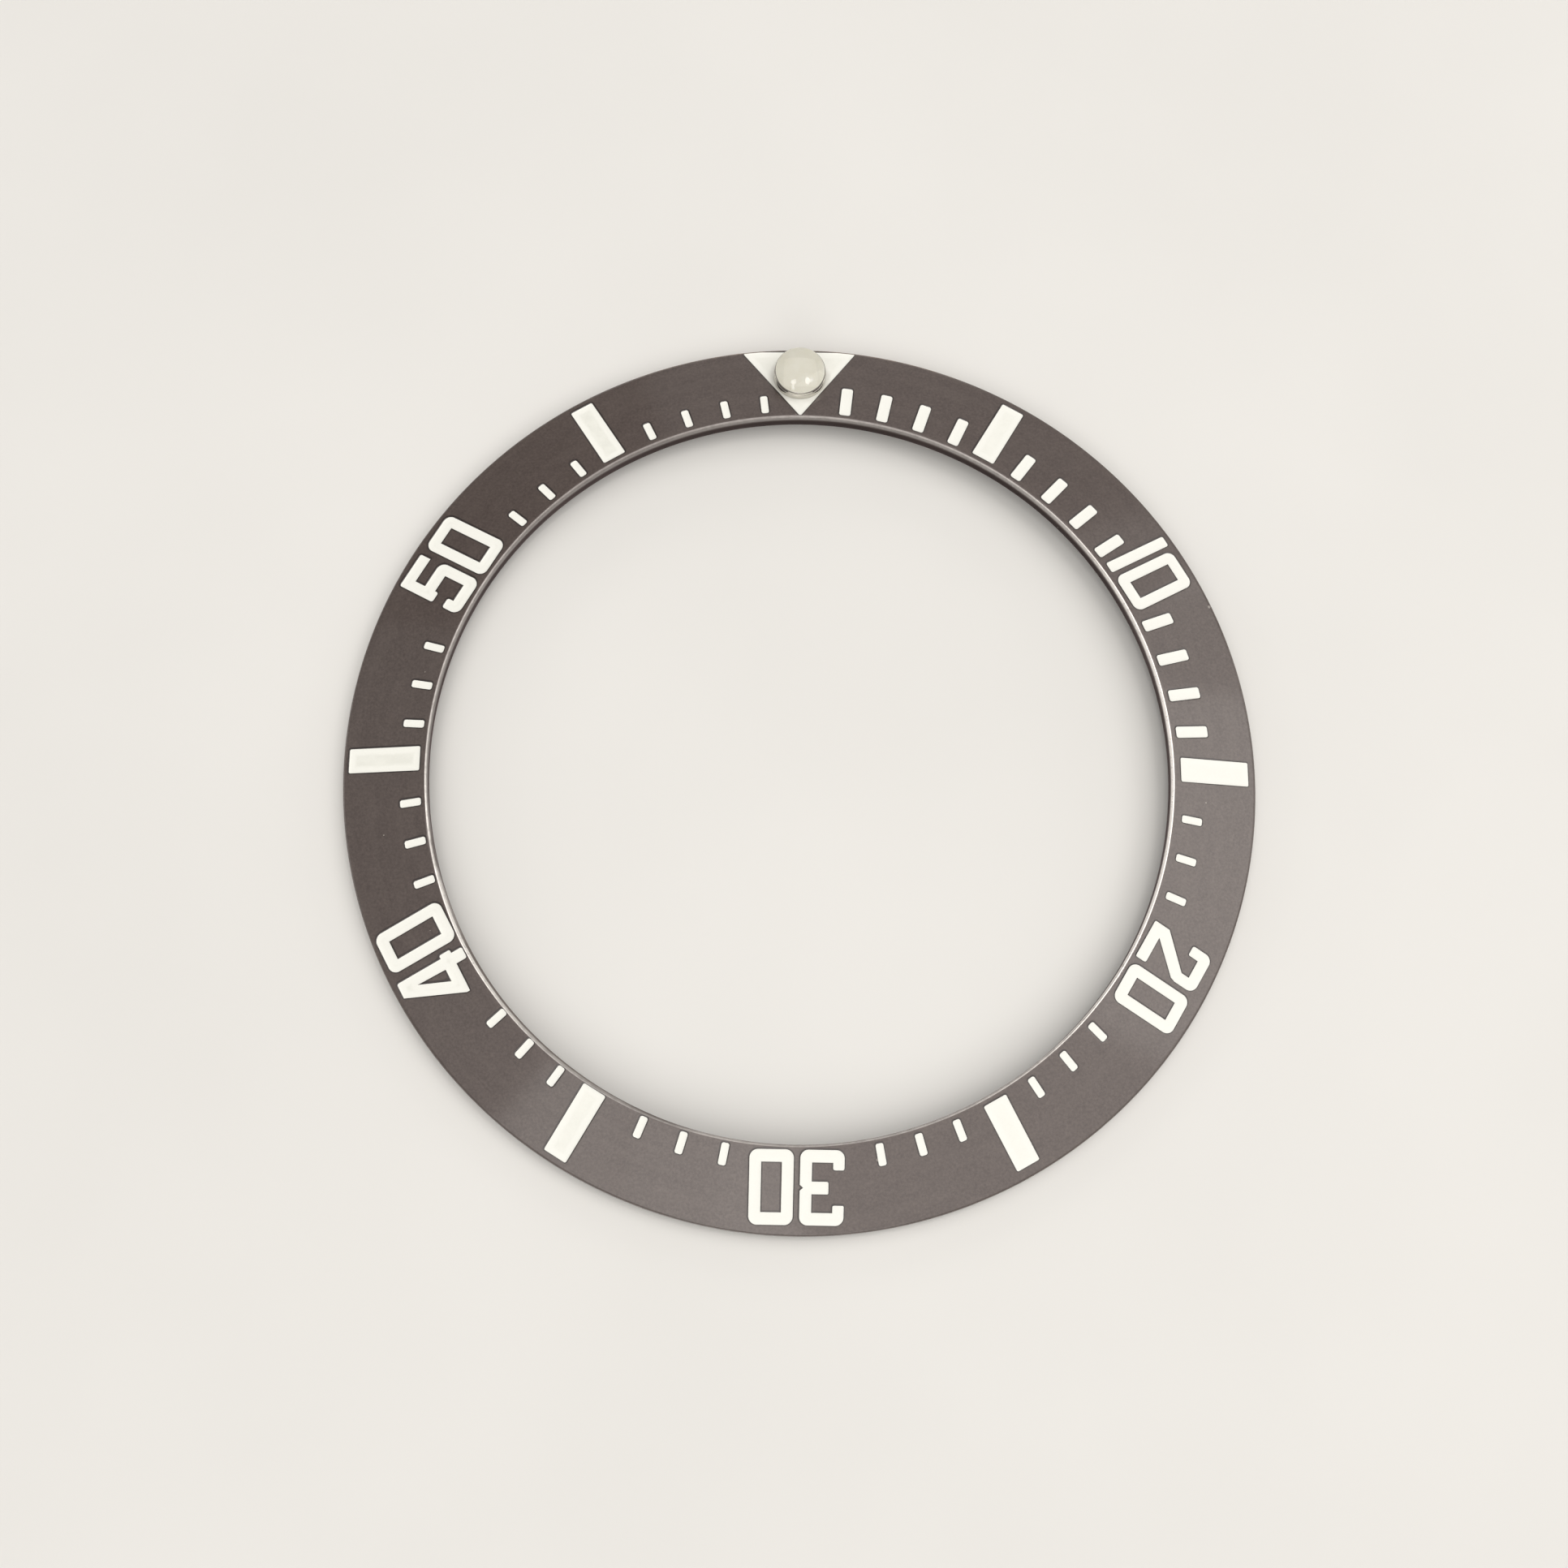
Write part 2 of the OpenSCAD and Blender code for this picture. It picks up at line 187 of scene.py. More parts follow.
def marks():
    """Node name to a list of marks; a mark is a list of outlines in the ring's plane, in mm."""
    out = {}
    s = 2.52 / (18.86 - 15.48)
    tri = rounded([(-2.35, 18.86, 0.01), (-2.42, 18.82, 0.03), (-(2.52 - .1 * s - .03), 18.73, 0.02),
                   (-.06 * s, 15.54, 0.025), (.06 * s, 15.54, 0.025), (2.52 - .1 * s - .03, 18.73, 0.02),
                   (2.42, 18.82, 0.03), (2.35, 18.86, 0.01)])
    rr = np.linalg.norm(tri, axis=1)
    tri = tri * np.minimum(1, 18.93 / rr)[:, None]
    t = np.linspace(0, 2 * math.pi, 97)[:-1]
    hole = np.stack([(SLEEVE_R + 0.003) * np.cos(t), PEARL_Y + (SLEEVE_R + 0.003) * np.sin(t)], 1)
    out["triangle_fill"] = [[tri, hole]]
    for minute, (stray, shift, grow) in NUMERALS.items():
        lead, h = minute // 10, FIG_H + grow
        gap = GAP + 0.01 if lead == 4 else GAP
        a, wa = figure(lead, h)
        b, wb = figure(0, h)
        w = wa + gap + wb
        out[f"numeral_{minute}_fill"] = [turned(a, -w / 2, FIG_R0 + shift, minute * 6 + stray),
                                         turned(b, -w / 2 + wa + gap, FIG_R0 + shift, minute * 6 + stray)]
    for minute, (stray, shift, grow) in BARS.items():
        r0, r1 = 15.69 + shift, 18.70 + shift + grow
        out[f"bar_{minute:02d}_fill"] = [turned([rounded(box_corners(1.03, r1 - r0, 0.07))], -0.515, r0, minute * 6 + stray)]
    for name, (m0, m1, s0, s1, shift) in TICKS.items():
        got = []
        for m in range(m0, m1 + 1):
            ang = m * 6 + s0 + (s1 - s0) * (m - m0) / (m1 - m0)
            w, r0, r1, r = (0.49, 15.62, 17.02, 0.10) if m < 15 else (0.32, 15.70, 16.58, 0.09)
            got.append(turned([rounded(box_corners(w, r1 - r0, r))], -w / 2, r0 + shift, ang))
        out[name] = got
    return {n: [oriented(loops) for loops in ms] for n, ms in out.items()}


def offset(p, d):
    """Loop moved d to its right, away from the paint; negative moves into the paint."""
    e = np.roll(p, -1, 0) - p
    e /= np.linalg.norm(e, axis=1)[:, None]
    n = np.stack([e[:, 1], -e[:, 0]], 1)
    m = n + np.roll(n, 1, 0)
    m /= np.linalg.norm(m, axis=1)[:, None]
    return p + m * (d / np.clip(np.sum(m * n, 1), 0.22, None))[:, None]


def within(co, tri, edges, origin, walls, test):
    """Triangles of the regions that pass the test; a region ends at the wall edges and never at the hull."""
    wall = {tuple(sorted(e)) for e, o in zip(edges, origin) if any(k < walls for k in o)}
    users = {}
    for i, f in enumerate(tri):
        for k in range(3):
            users.setdefault(tuple(sorted((f[k], f[k - 1]))), []).append(i)
    c = co[np.array([f[:3] for f in tri])]
    area = np.abs(np.cross(c[:, 1] - c[:, 0], c[:, 2] - c[:, 0]))
    passes = test(c.mean(1))
    seen = np.zeros(len(tri), bool)
    out = []
    for i in range(len(tri)):
        if seen[i]:
            continue
        seen[i] = True
        stack, region, open_side = [i], [], False
        while stack:
            j = stack.pop()
            region.append(j)
            f = tri[j]
            for k in range(3):
                e = tuple(sorted((f[k], f[k - 1])))
                if e in wall:
                    continue
                if len(users[e]) == 1:
                    open_side = True
                for n in users[e]:
                    if not seen[n]:
                        seen[n] = True
                        stack.append(n)
        if not open_side and passes[max(region, key=lambda j: area[j])]:
            out += region
    return [tri[j] for j in sorted(out)]


def distance(q, loops):
    """Distance from points q to the nearest outline."""
    best = np.full(len(q), 1e9)
    for p in loops:
        a, b = p, np.roll(p, -1, 0)
        ab = b - a
        for i in range(0, len(q), 4000):
            s = q[i:i + 4000]
            t = np.clip(np.einsum("ijk,jk->ij", s[:, None] - a[None], ab) / np.sum(ab * ab, 1), 0, 1)
            d = np.linalg.norm(s[:, None] - (a[None] + t[..., None] * ab[None]), axis=2).min(1)
            best[i:i + 4000] = np.minimum(best[i:i + 4000], d)
    return best


def inside(q, loops):
    """True where q is in the paint: an odd number of outline crossings."""
    odd = np.zeros(len(q), bool)
    for p in loops:
        x0, y0 = p[:, 0], p[:, 1]
        x1, y1 = np.roll(x0, -1), np.roll(y0, -1)
        for i in range(0, len(q), 4000):
            s = q[i:i + 4000]
            y, x = s[:, 1:2], s[:, 0:1]
            hit = (y0 > y) != (y1 > y)
            with np.errstate(divide="ignore", invalid="ignore"):
                xc = x0 + (y - y0) * (x1 - x0) / (y1 - y0)
            odd[i:i + 4000] ^= (np.sum(hit & (x < xc), 1) % 2).astype(bool)
    return odd


# ------------------------------------------------------------------ mesh helpers
def new_mesh(name, verts_mm, faces, sharp=None):
    me = bpy.data.meshes.new(name)
    me.from_pydata([tuple(v) for v in np.asarray(verts_mm, float) * MM], [], [tuple(f) for f in faces])
    me.validate()
    ob = bpy.data.objects.new(name, me)
    bpy.context.scene.collection.objects.link(ob)
    for p in me.polygons:
        p.use_smooth = True
    if sharp:
        me.set_sharp_from_angle(angle=math.radians(sharp))
    return ob


def lathe(profile, n, y0=0.0):
    """Vertices and faces of a profile [(r, z)] turned about the Z axis through (0, y0); a point at r 0 is a pole."""
    verts, rows = [], []
    t = 2 * math.pi * np.arange(n) / n
    for r, z in profile:
        if r < 1e-9:
            rows.append([len(verts)] * n)
            verts.append((0.0, y0, z))
        else:
            rows.append(list(range(len(verts), len(verts) + n)))
            verts += [(r * math.sin(a), y0 + r * math.cos(a), z) for a in t]
    faces = []
    for a, b in zip(rows, rows[1:]):
        for i in range(n):
            j = (i + 1) % n
            f = [a[i], a[j], b[j], b[i]]
            f = [v for k, v in enumerate(f) if v not in f[:k]]
            if len(f) > 2:
                faces.append(f)
    return verts, faces, rows


# ------------------------------------------------------------------ the ring
MARKS = marks()
ALL = [loops for ms in MARKS.values() for loops in ms]


# The hole's edge is hand finished and worn: degrees clockwise from 12, then mm outward of the true circle.
EDGE = [(0, 0.0), (20, -0.02), (40, -0.05), (60, -0.095), (80, -0.12), (95, -0.12), (110, -0.085), (120, -0.065),
        (130, -0.055), (140, -0.04), (150, -0.02), (160, 0.01), (170, 0.045), (180, 0.07), (190, 0.09), (200, 0.11),
        (210, 0.10), (220, 0.09), (230, 0.08), (240, 0.065), (250, 0.05), (260, 0.03), (270, 0.015), (290, 0.0),
        (320, -0.01), (345, -0.005)]
# ... and how wide its edge is rubbed down to a bevel there.
BEVEL = [(0, 0.0), (195, 0.0), (203, 0.12), (212, 0.15), (222, 0.172), (232, 0.182), (242, 0.195), (250, 0.155),
         (257, 0.12), (264, 0.0)]


def around(table, th):
    return np.interp(th, [a for a, _ in table], [b for _, b in table], period=360)


def worn_edge(verts):
    """Moves the rows of points round the hole to its hand-finished line and rubs the bevel into them."""
    v = np.array(verts, float)
    r = np.hypot(v[:, 0], v[:, 1])
    th = np.degrees(np.arctan2(v[:, 0], v[:, 1])) % 360
    end = RI + 0.29
    f = np.clip((end - r) / 0.24, 0, 1)
    off, w = around(EDGE, th), around(BEVEL, th)
    wide = np.maximum(w, LIP_T - RI)
    b = np.clip(w / 0.11, 0, 1)
    on_lip = RI + off + (r - RI) * wide / (LIP_T - RI)
    past = RI + off + wide + (r - LIP_T) * (end - RI - off - wide) / (end - LIP_T)
    drawn = np.where(r < LIP_T, on_lip, past)
    r2 = np.where(r < end, r + (1 - b) * off * f * f * (3 - 2 * f) + b * (drawn - r), r)
    z2 = v[:, 2] - (r2 - r) * K
    top = RI + off + wide
    slant = face(top) - (top - r2) * 0.95
    soft = 0.06                                                # the arris is rounded, not sharp
    h = np.clip(0.5 + 0.5 * (slant - z2) / soft, 0, 1)
    flat = slant + (z2 - slant) * h - soft * h * (1 - h)
    z2 = np.where((r < end) & (v[:, 2] > 1.4), z2 + b * (flat - z2), z2)
    out = np.column_stack([v[:, 0] * r2 / r, v[:, 1] * r2 / r, z2])
    return [tuple(p) for p in out]


def ring_surface():
    """Upper surface of the ring with every pocket sunk into it, as one triangulated sheet."""
    r_in, r_out = RI + 0.022, RO - 0.0045
    radii = np.concatenate([
        [r_in, RI + 0.035, RI + 0.052, RI + 0.075, RI + 0.094, RI + 0.110, RI + 0.124, LIP_T,
         LIP_T + 0.035, LIP_T + 0.07, LIP_T + 0.11],
        np.linspace(LIP_T + 0.17, RIM_T - 0.05, 19),
        [RIM_T, RIM_T + (r_out - RIM_T) * 0.3, RIM_T + (r_out - RIM_T) * 0.55,
         RIM_T + (r_out - RIM_T) * 0.75, RIM_T + (r_out - RIM_T) * 0.9, r_out]])
    t = 2 * math.pi * np.arange(N_ANG) / N_ANG
    unit = np.stack([np.sin(t), np.cos(t)], 1)
    grid = np.concatenate([unit * r for r in radii])
    row = np.repeat(np.arange(len(radii)), N_ANG)
    keep = np.ones(len(grid), bool)
    sunk = np.zeros(len(grid), bool)
    for loops in ALL:
        if loops is MARKS["triangle_fill"][0]:
            loops = loops[:1]
        lo, hi = loops[0].min(0) - 0.12, loops[0].max(0) + 0.12
        near = np.where(np.all((grid > lo) & (grid < hi), 1) & (row > 0) & (row < len(radii) - 1))[0]
        if len(near):
            keep[near[distance(grid[near], loops) < 0.105]] = False
            sunk[near[inside(grid[near], loops)]] = True
    pts = [grid[keep]]
    rad = np.linalg.norm(pts[0], axis=1)
    z = [np.where(sunk[keep], np.minimum(face(rad) - POCKET, prof(rad) - 0.02), prof(rad))]
    edges = []
    rows = row[keep]
    first = np.where(rows == 0)[0]
    last = np.where(rows == len(radii) - 1)[0]
    for ring in (first, last):
        edges += list(zip(ring.tolist(), np.roll(ring, -1).tolist()))
    count = len(pts[0])
    for loops in ALL:
        for p in loops:
            if p is loops[0] or len(loops) == 2 and loops is not MARKS["triangle_fill"][0]:
                for d, depth in ((0.085, 0.0), (0.045, 0.0), (0.024, 0.0015), (0.010, 0.0065), (0.0, 0.018), (-0.0015, None)):
                    q = offset(p, d) if d else p
                    if d > 0:             # points that would cross over in a narrow corner are left out
                        q = q[distance(q, [p]) > d - 0.003]
                        q = q * np.minimum(1.0, (r_out - 0.008) / np.linalg.norm(q, axis=1))[:, None]
                    r = np.linalg.norm(q, axis=1)
                    zz = prof(r) - depth if depth is not None else np.minimum(face(r) - POCKET, prof(r) - 0.02)
                    k = len(q)
                    edges += [(count + i, count + (i + 1) % k) for i in range(k)]
                    pts.append(q)
                    z.append(zz)
                    count += k
    pts = np.concatenate(pts)
    z = np.concatenate(z)
    co, e_new, faces, orig, e_from, _ = delaunay_2d_cdt([Vector(p) for p in pts], edges, [], 0, 1e-6, True)
    co = np.array([tuple(c) for c in co])
    zz = np.zeros(len(co))
    new_of = {}
    for i, o in enumerate(orig):
        if o:
            zz[i] = z[o[0]]
            for k in o:
                new_of[k] = i
        else:
            zz[i] = float(prof(np.linalg.norm(co[i])))
    first = [new_of[i] for i in first]
    last = [new_of[i] for i in last]
    faces = within(co, faces, e_new, e_from, 2 * N_ANG,
                   lambda q: (np.linalg.norm(q, axis=1) > r_in) & (np.linalg.norm(q, axis=1) < r_out))
    out = []
    for f in faces:                       # all faces looking up
        a, b, c = co[f[0]], co[f[1]], co[f[2]]
        up = (b[0] - a[0]) * (c[1] - a[1]) - (b[1] - a[1]) * (c[0] - a[0]) > 0
        out.append(tuple(f) if up else tuple(f[::-1]))
    verts = np.column_stack([co, zz])
    return verts, out, first, last, (r_in, r_out)


def make_ring():
    verts, faces, first, last, (r_in, r_out) = ring_surface()
    verts = [tuple(v) for v in verts]
    under = lambda r: face(r) - WALL_T
    prof_pts = []
    a0 = math.asin((RO - RO + (r_out - RIM_X)) / RIM_R)
    for t in np.linspace(a0, math.pi / 2, 5)[1:]:
        prof_pts.append((RIM_X + RIM_R * math.sin(t), RIM_Z + RIM_R * math.cos(t)))
    prof_pts += [(RO, 0.40), (RO, 0.20), (RO, 0.075), (RO - 0.012, 0.035), (RO - 0.035, 0.012), (RO - 0.075, 0.0),
                 (RO - 0.25, 0.0), (RO - SEAT_W + 0.015, 0.0), (RO - SEAT_W - 0.012, 0.018),
                 (RO - SEAT_W - 0.02, under(RO - SEAT_W - 0.02))]
    prof_pts += [(r, under(r)) for r in (18.1, 17.6, 17.1, 16.6, 16.1, 15.7, RI + 0.07)]
    prof_pts += [(RI + 0.03, under(RI + 0.05) + 0.006), (RI + 0.008, under(RI) + 0.035), (RI, under(RI) + 0.07),
                 (RI, 1.15), (RI, 1.38)]
    b0 = math.acos((LIP_X - r_in) / LIP_R)
    for t in np.linspace(0, b0, 5)[:-1]:
        prof_pts.append((LIP_X - LIP_R * math.cos(t), LIP_Z + LIP_R * math.sin(t)))
    t = 2 * math.pi * np.arange(N_ANG) / N_ANG
    rows = [last]
    for r, z in prof_pts:
        rows.append(list(range(len(verts), len(verts) + N_ANG)))
        verts += [(r * math.sin(a), r * math.cos(a), z) for a in t]
    rows.append(first)
    for a, b in zip(rows, rows[1:]):
        for i in range(N_ANG):
            j = (i + 1) % N_ANG
            faces.append((a[i], b[i], b[j], a[j]))
    ob = new_mesh("ring_body", worn_edge(verts), faces)
    # the pearl's hole and the seat for its shoulder
    for name, r, top in (("cut_hole", HOLE_R, 4.0), ("cut_shoulder", FLANGE_R + 0.02, 0.42)):
        v, f, _ = lathe([(0, -0.5), (r, -0.5), (r, top), (0, top)], 128, PEARL_Y)
        f = [q[::-1] for q in f]
        cut = new_mesh(name, v, f)
        m = ob.modifiers.new(name, "BOOLEAN")
        m.operation, m.solver, m.object = "DIFFERENCE", "MANIFOLD", cut
        bpy.context.view_layer.update()
        me = bpy.data.meshes.new_from_object(ob.evaluated_get(bpy.context.evaluated_depsgraph_get()))
        ob.modifiers.clear()
        old = ob.data
        ob.data = me
        bpy.data.meshes.remove(old)
        bpy.data.objects.remove(cut)
    ob.data.name = "ring_body"
    for p in ob.data.polygons:
        p.use_smooth = True
    ob.data.set_sharp_from_angle(angle=math.radians(38))
    # distance from the edges of the pockets, for the painted shadow line round each mark
    me = ob.data
    co = np.empty(len(me.vertices) * 3, np.float32)
    me.vertices.foreach_get("co", co)
    co = co.reshape(-1, 3) / MM
    d = np.full(len(co), 1.0)
    upper = co[:, 2] > face(np.hypot(co[:, 0], co[:, 1])) - 0.35
    for loops in ALL:
        lo, hi = loops[0].min(0) - 0.15, loops[0].max(0) + 0.15
        near = np.where(np.all((co[:, :2] > lo) & (co[:, :2] < hi), 1) & upper)[0]
        if len(near):
            # the distance is taken from a slightly shifted point, so the painted shadow line is wider on one side of
            # each mark
            d[near] = np.minimum(d[near], distance(co[near, :2].astype(float) + (0.008, -0.018), loops))
    at = me.attributes.new("mark_mm", "FLOAT", "POINT")
    at.data.foreach_set("value", d.astype(np.float32))
    return ob


# ------------------------------------------------------------------ the paint
def make_fill(name, mark_list):
    """Paint on the pocket floors: it climbs a little at the pocket walls and sags between them."""
    verts, faces, dist_attr = [], [], []
    for loops in mark_list:
        edge = [offset(p, -0.003) if not (name == "triangle_fill" and i == 1) else p for i, p in enumerate(loops)]
        ring2 = [offset(p, -0.020) for p in loops]
        ring2 = [q[(distance(q, [p]) > 0.0185) & (np.linalg.norm(q - np.roll(q, 1, 0), axis=1) > 0.001)]
                 for q, p in zip(ring2, loops)]
        lo, hi = loops[0].min(0), loops[0].max(0)
        s = 0.075
        gx, gy = np.meshgrid(np.arange(lo[0], hi[0], s), np.arange(lo[1], hi[1], s * 0.866))
        gx = gx + (np.arange(gx.shape[0]) % 2)[:, None] * s / 2
        g = np.stack([gx.ravel(), gy.ravel()], 1)
        g = g[inside(g, loops)]
        g = g[distance(g, loops) > 0.048]
        pts, edges, on_edge = [], [], []
        count = 0
        for group in (edge, ring2):
            for p in group:
                k = len(p)
                pts.append(p)
                edges += [(count + i, count + (i + 1) % k) for i in range(k)]
                count += k
        n_loop = [len(p) for p in edge]
        pts = np.concatenate(pts + [g])
        co, e_new, tri, orig, e_from, _ = delaunay_2d_cdt([Vector(p) for p in pts], edges, [], 0, 1e-6, True)
        co = np.array([tuple(c) for c in co])
        new_of = {}
        for i, o in enumerate(orig):
            for k in o:
                new_of[k] = i
        tri = within(co, tri, e_new, e_from, sum(n_loop), lambda q: inside(q, edge))
        used = sorted({v for f in tri for v in f})
        renum = {v: i for i, v in enumerate(used)}
        co = co[used]
        d = distance(co, loops)
        r = np.linalg.norm(co, axis=1)
        drop = 0.017 + 0.020 * (1 - np.exp(-d / 0.05)) + 0.004 * np.clip(d / 0.3, 0, 1)
        top = np.minimum(face(r) - drop, prof(r) - 0.012)
        low = np.minimum(face(r) - POCKET, prof(r) - 0.03)
        base = len(verts)
        m = len(co)
        verts += [(x, y, z) for (x, y), z in zip(co, top)] + [(x, y, z) for (x, y), z in zip(co, low)]
        dist_attr += d.tolist() + [0.0] * m
        for f in tri:
            a, b, c = (renum[v] for v in f[:3])
            pa, pb, pc = co[a], co[b], co[c]
            if (pb[0] - pa[0]) * (pc[1] - pa[1]) - (pb[1] - pa[1]) * (pc[0] - pa[0]) < 0:
                b, c = c, b
            faces.append((base + a, base + b, base + c))
            faces.append((base + m + c, base + m + b, base + m + a))
        start = 0
        for k in n_loop:
            ids = [renum[new_of[start + i]] for i in range(k) if new_of[start + i] in renum]
            ids = [v for i, v in enumerate(ids) if v != ids[i - 1]]
            for i in range(len(ids)):
                a, b = ids[i], ids[(i + 1) % len(ids)]
                faces.append((base + a, base + m + a, base + m + b, base + b))
            start += k
    ob = new_mesh(name.replace("_fill", "_paint"), verts, faces, 50)
    at = ob.data.attributes.new("edge_mm", "FLOAT", "POINT")
    at.data.foreach_set("value", np.array(dist_attr, np.float32))
    return ob


# ------------------------------------------------------------------ the pearl
def make_pearl():
    # polished cup: flange behind the ring, tapered neck with a step, thin lip turned in against the dome
    f = FLANGE_R
    pts = [(0.965, 0.14), (0.975, 0.125), (0.99, 0.12), (1.15, 0.12), (f - 0.03, 0.12), (f - 0.007, 0.127), (f, 0.15),
           (f, 0.39), (f - 0.007, 0.413), (f - 0.03, 0.42), (1.18, 0.42), (1.15, 0.42), (1.135, 0.425), (SLEEVE_R, 0.44),
           (SLEEVE_R, 0.9), (SLEEVE_R, 1.30), (1.130, 1.38), (1.125, 1.46), (1.113, 1.640), (1.1115, 1.652),
           (1.1075, 1.661), (1.101, 1.6655), (1.0955, 1.668), (1.094, 1.676), (1.092, 1.81), (1.0915, 1.828),
           (1.0885, 1.838), (1.0695, 1.8665), (1.067, 1.868), (1.065, 1.867), (1.0635, 1.863), (1.063, 1.842),
           (0.975, 1.840), (0.968, 1.836), (0.965, 1.825), (0.965, 1.4), (0.965, 0.8)]
    v, f, _ = lathe(pts + pts[:1], 192, PEARL_Y)
    sleeve = new_mesh("pearl_steel_sleeve", v, [q[::-1] for q in f], 32)
    # clear dome, seated inside the lip
    r, z0, e = 1.0615, 1.893, 0.020
    sag = DOME_TOP - z0
    big = (r * r + sag * sag) / (2 * sag)
    top = math.asin((r - e) / (big - e))
    zc = DOME_TOP - big + (big - e) * math.cos(top)
    pts = [(0, 1.866), (0.5, 1.866), (1.02, 1.866), (1.053, 1.866), (1.059, 1.868), (r, 1.873), (r, zc - 0.004)]
    pts += [(r - e + e * math.sin(t), zc + e * math.cos(t)) for t in np.linspace(math.pi / 2, top, 9)]
    for t in np.linspace(top, 0, 28)[1:]:
        pts.append((big * math.sin(t) if t > 0 else 0.0, DOME_TOP - big + big * math.cos(t)))
    v, f, _ = lathe(pts, 192, PEARL_Y)
    lens = new_mesh("pearl_dome", v, [q[::-1] for q in f], 40)
    # luminous compound: fills the cup, spreads over its ledge and wets the underside of the dome
    v, f, _ = lathe([(0, 0.30), (0.5, 0.30), (0.94, 0.30), (0.964, 0.325), (0.964, 1.1), (0.964, 1.8415), (0.97, 1.8435),
                     (1.04, 1.8440), (1.059, 1.8445), (1.0605, 1.848), (1.0605, 1.860), (1.057, 1.866), (1.049, 1.8695),
                     (1.0, 1.8700), (0.5, 1.8700), (0, 1.8700)], 160, PEARL_Y)
    lume = new_mesh("pearl_lume_core", v, [q[::-1] for q in f], 40)
    v, f, _ = lathe([(0, 0.175), (0.4, 0.172), (0.8, 0.165), (0.92, 0.158), (0.956, 0.152), (0.963, 0.165), (0.963, 0.299),
                     (0.5, 0.2995), (0, 0.2995)], 96, PEARL_Y)
    seal = new_mesh("pearl_rear_seal", v, [q[::-1] for q in f], 40)
    return sleeve, lens, lume, seal


ring = make_ring()
fills = {n: make_fill(n, ms) for n, ms in MARKS.items()}
sleeve, lens, lume, seal = make_pearl()


# ------------------------------------------------------------------ materials
class Tree:
    """Short way to build a node tree."""

    def __init__(self, name):
        self.mat = bpy.data.materials.new(name)
        self.mat.use_nodes = True
        self.t = self.mat.node_tree
        self.t.nodes.clear()
        self.out = self.t.nodes.new("ShaderNodeOutputMaterial")
        self.b = self.t.nodes.new("ShaderNodeBsdfPrincipled")
        self.t.links.new(self.b.outputs[0], self.out.inputs[0])

    def node(self, kind, props=None, **inputs):
        n = self.t.nodes.new("ShaderNode" + kind)
        for k, v in (props or {}).items():
            setattr(n, k, v)
        for k, v in inputs.items():
            self.put(n, k.replace("_", " ") if k in ("Base_Color",) else k, v)
        return n

    def put(self, n, key, v):
        s = n.inputs[int(key[1:])] if isinstance(key, str) and key[0] == "i" and key[1:].isdigit() else n.inputs[key]
        if isinstance(v, bpy.types.NodeSocket):
            self.t.links.new(v, s)
        else:
            s.default_value = v

    def math(self, op, a, b=0.0, c=None, clamp=False):
        n = self.t.nodes.new("ShaderNodeMath")
        n.operation, n.use_clamp = op, clamp
        self.put(n, "i0", a)
        self.put(n, "i1", b)
        if c is not None:
            self.put(n, "i2", c)
        return n.outputs[0]

    def mix(self, f, a, b, mode="MIX"):
        n = self.t.nodes.new("ShaderNodeMix")
        n.data_type, n.blend_type = "RGBA", mode
        self.put(n, "i0", f)
        self.put(n, "i6", a)
        self.put(n, "i7", b)
        return n.outputs[2]

    def noise(self, vec, scale, detail=3.0, rough=0.55):
        n = self.t.nodes.new("ShaderNodeTexNoise")
        self.put(n, "Vector", vec)
        n.inputs["Scale"].default_value = scale
        n.inputs["Detail"].default_value = detail
        n.inputs["Roughness"].default_value = rough
        return n.outputs["Fac"]

    def remap(self, v, a, b, c=0.0, d=1.0, smooth=False):
        n = self.t.nodes.new("ShaderNodeMapRange")
        n.interpolation_type = "SMOOTHSTEP" if smooth else "LINEAR"
        n.clamp = True
        for k, x in zip(("i0", "i1", "i2", "i3", "i4"), (v, a, b, c, d)):
            self.put(n, k, x)
        return n.outputs[0]

    def mixf(self, f, a, b):
        """Value a where f is 0, b where it is 1."""
        return self.math("ADD", a, self.math("MULTIPLY", f, self.math("SUBTRACT", b, a)))

    def ramp(self, v, stops):
        """Grey value by position, straight lines between stops (position, value)."""
        n = self.t.nodes.new("ShaderNodeValToRGB")
        el = n.color_ramp.elements
        while len(el) > 2:
            el.remove(el[-1])
        for i, (pos, val) in enumerate(stops):
            e = el[i] if i < 2 else el.new(pos)
            e.position = pos
            e.color = (val, val, val, 1)
        self.put(n, "i0", v)
        return n.outputs[0]

    def coords(self):
        """Object position in mm, and the ring's own radius and angle."""
        tc = self.t.nodes.new("ShaderNodeTexCoord")
        sc = self.t.nodes.new("ShaderNodeVectorMath")
        sc.operation = "SCALE"
        sc.inputs[3].default_value = 1000.0
        self.t.links.new(tc.outputs["Object"], sc.inputs[0])
        sep = self.t.nodes.new("ShaderNodeSeparateXYZ")
        self.t.links.new(sc.outputs[0], sep.inputs[0])
        x, y, z = sep.outputs
        r = self.math("SQRT", self.math("ADD", self.math("MULTIPLY", x, x), self.math("MULTIPLY", y, y)))
        ang = self.math("ARCTAN2", x, y)
        return sc.outputs[0], x, y, z, r, ang

    def combine(self, x, y, z):
        n = self.t.nodes.new("ShaderNodeCombineXYZ")
        self.put(n, "i0", x)
        self.put(n, "i1", y)
        self.put(n, "i2", z)
        return n.outputs[0]

    def bump(self, height, strength, dist):
        n = self.t.nodes.new("ShaderNodeBump")
        n.inputs["Strength"].default_value = strength
        n.inputs["Distance"].default_value = dist
        self.put(n, "Height", height)
        return n.outputs[0]


def set_in(b, **kw):
    for k, v in kw.items():
        b.inputs[k.replace("_", " ")].default_value = v


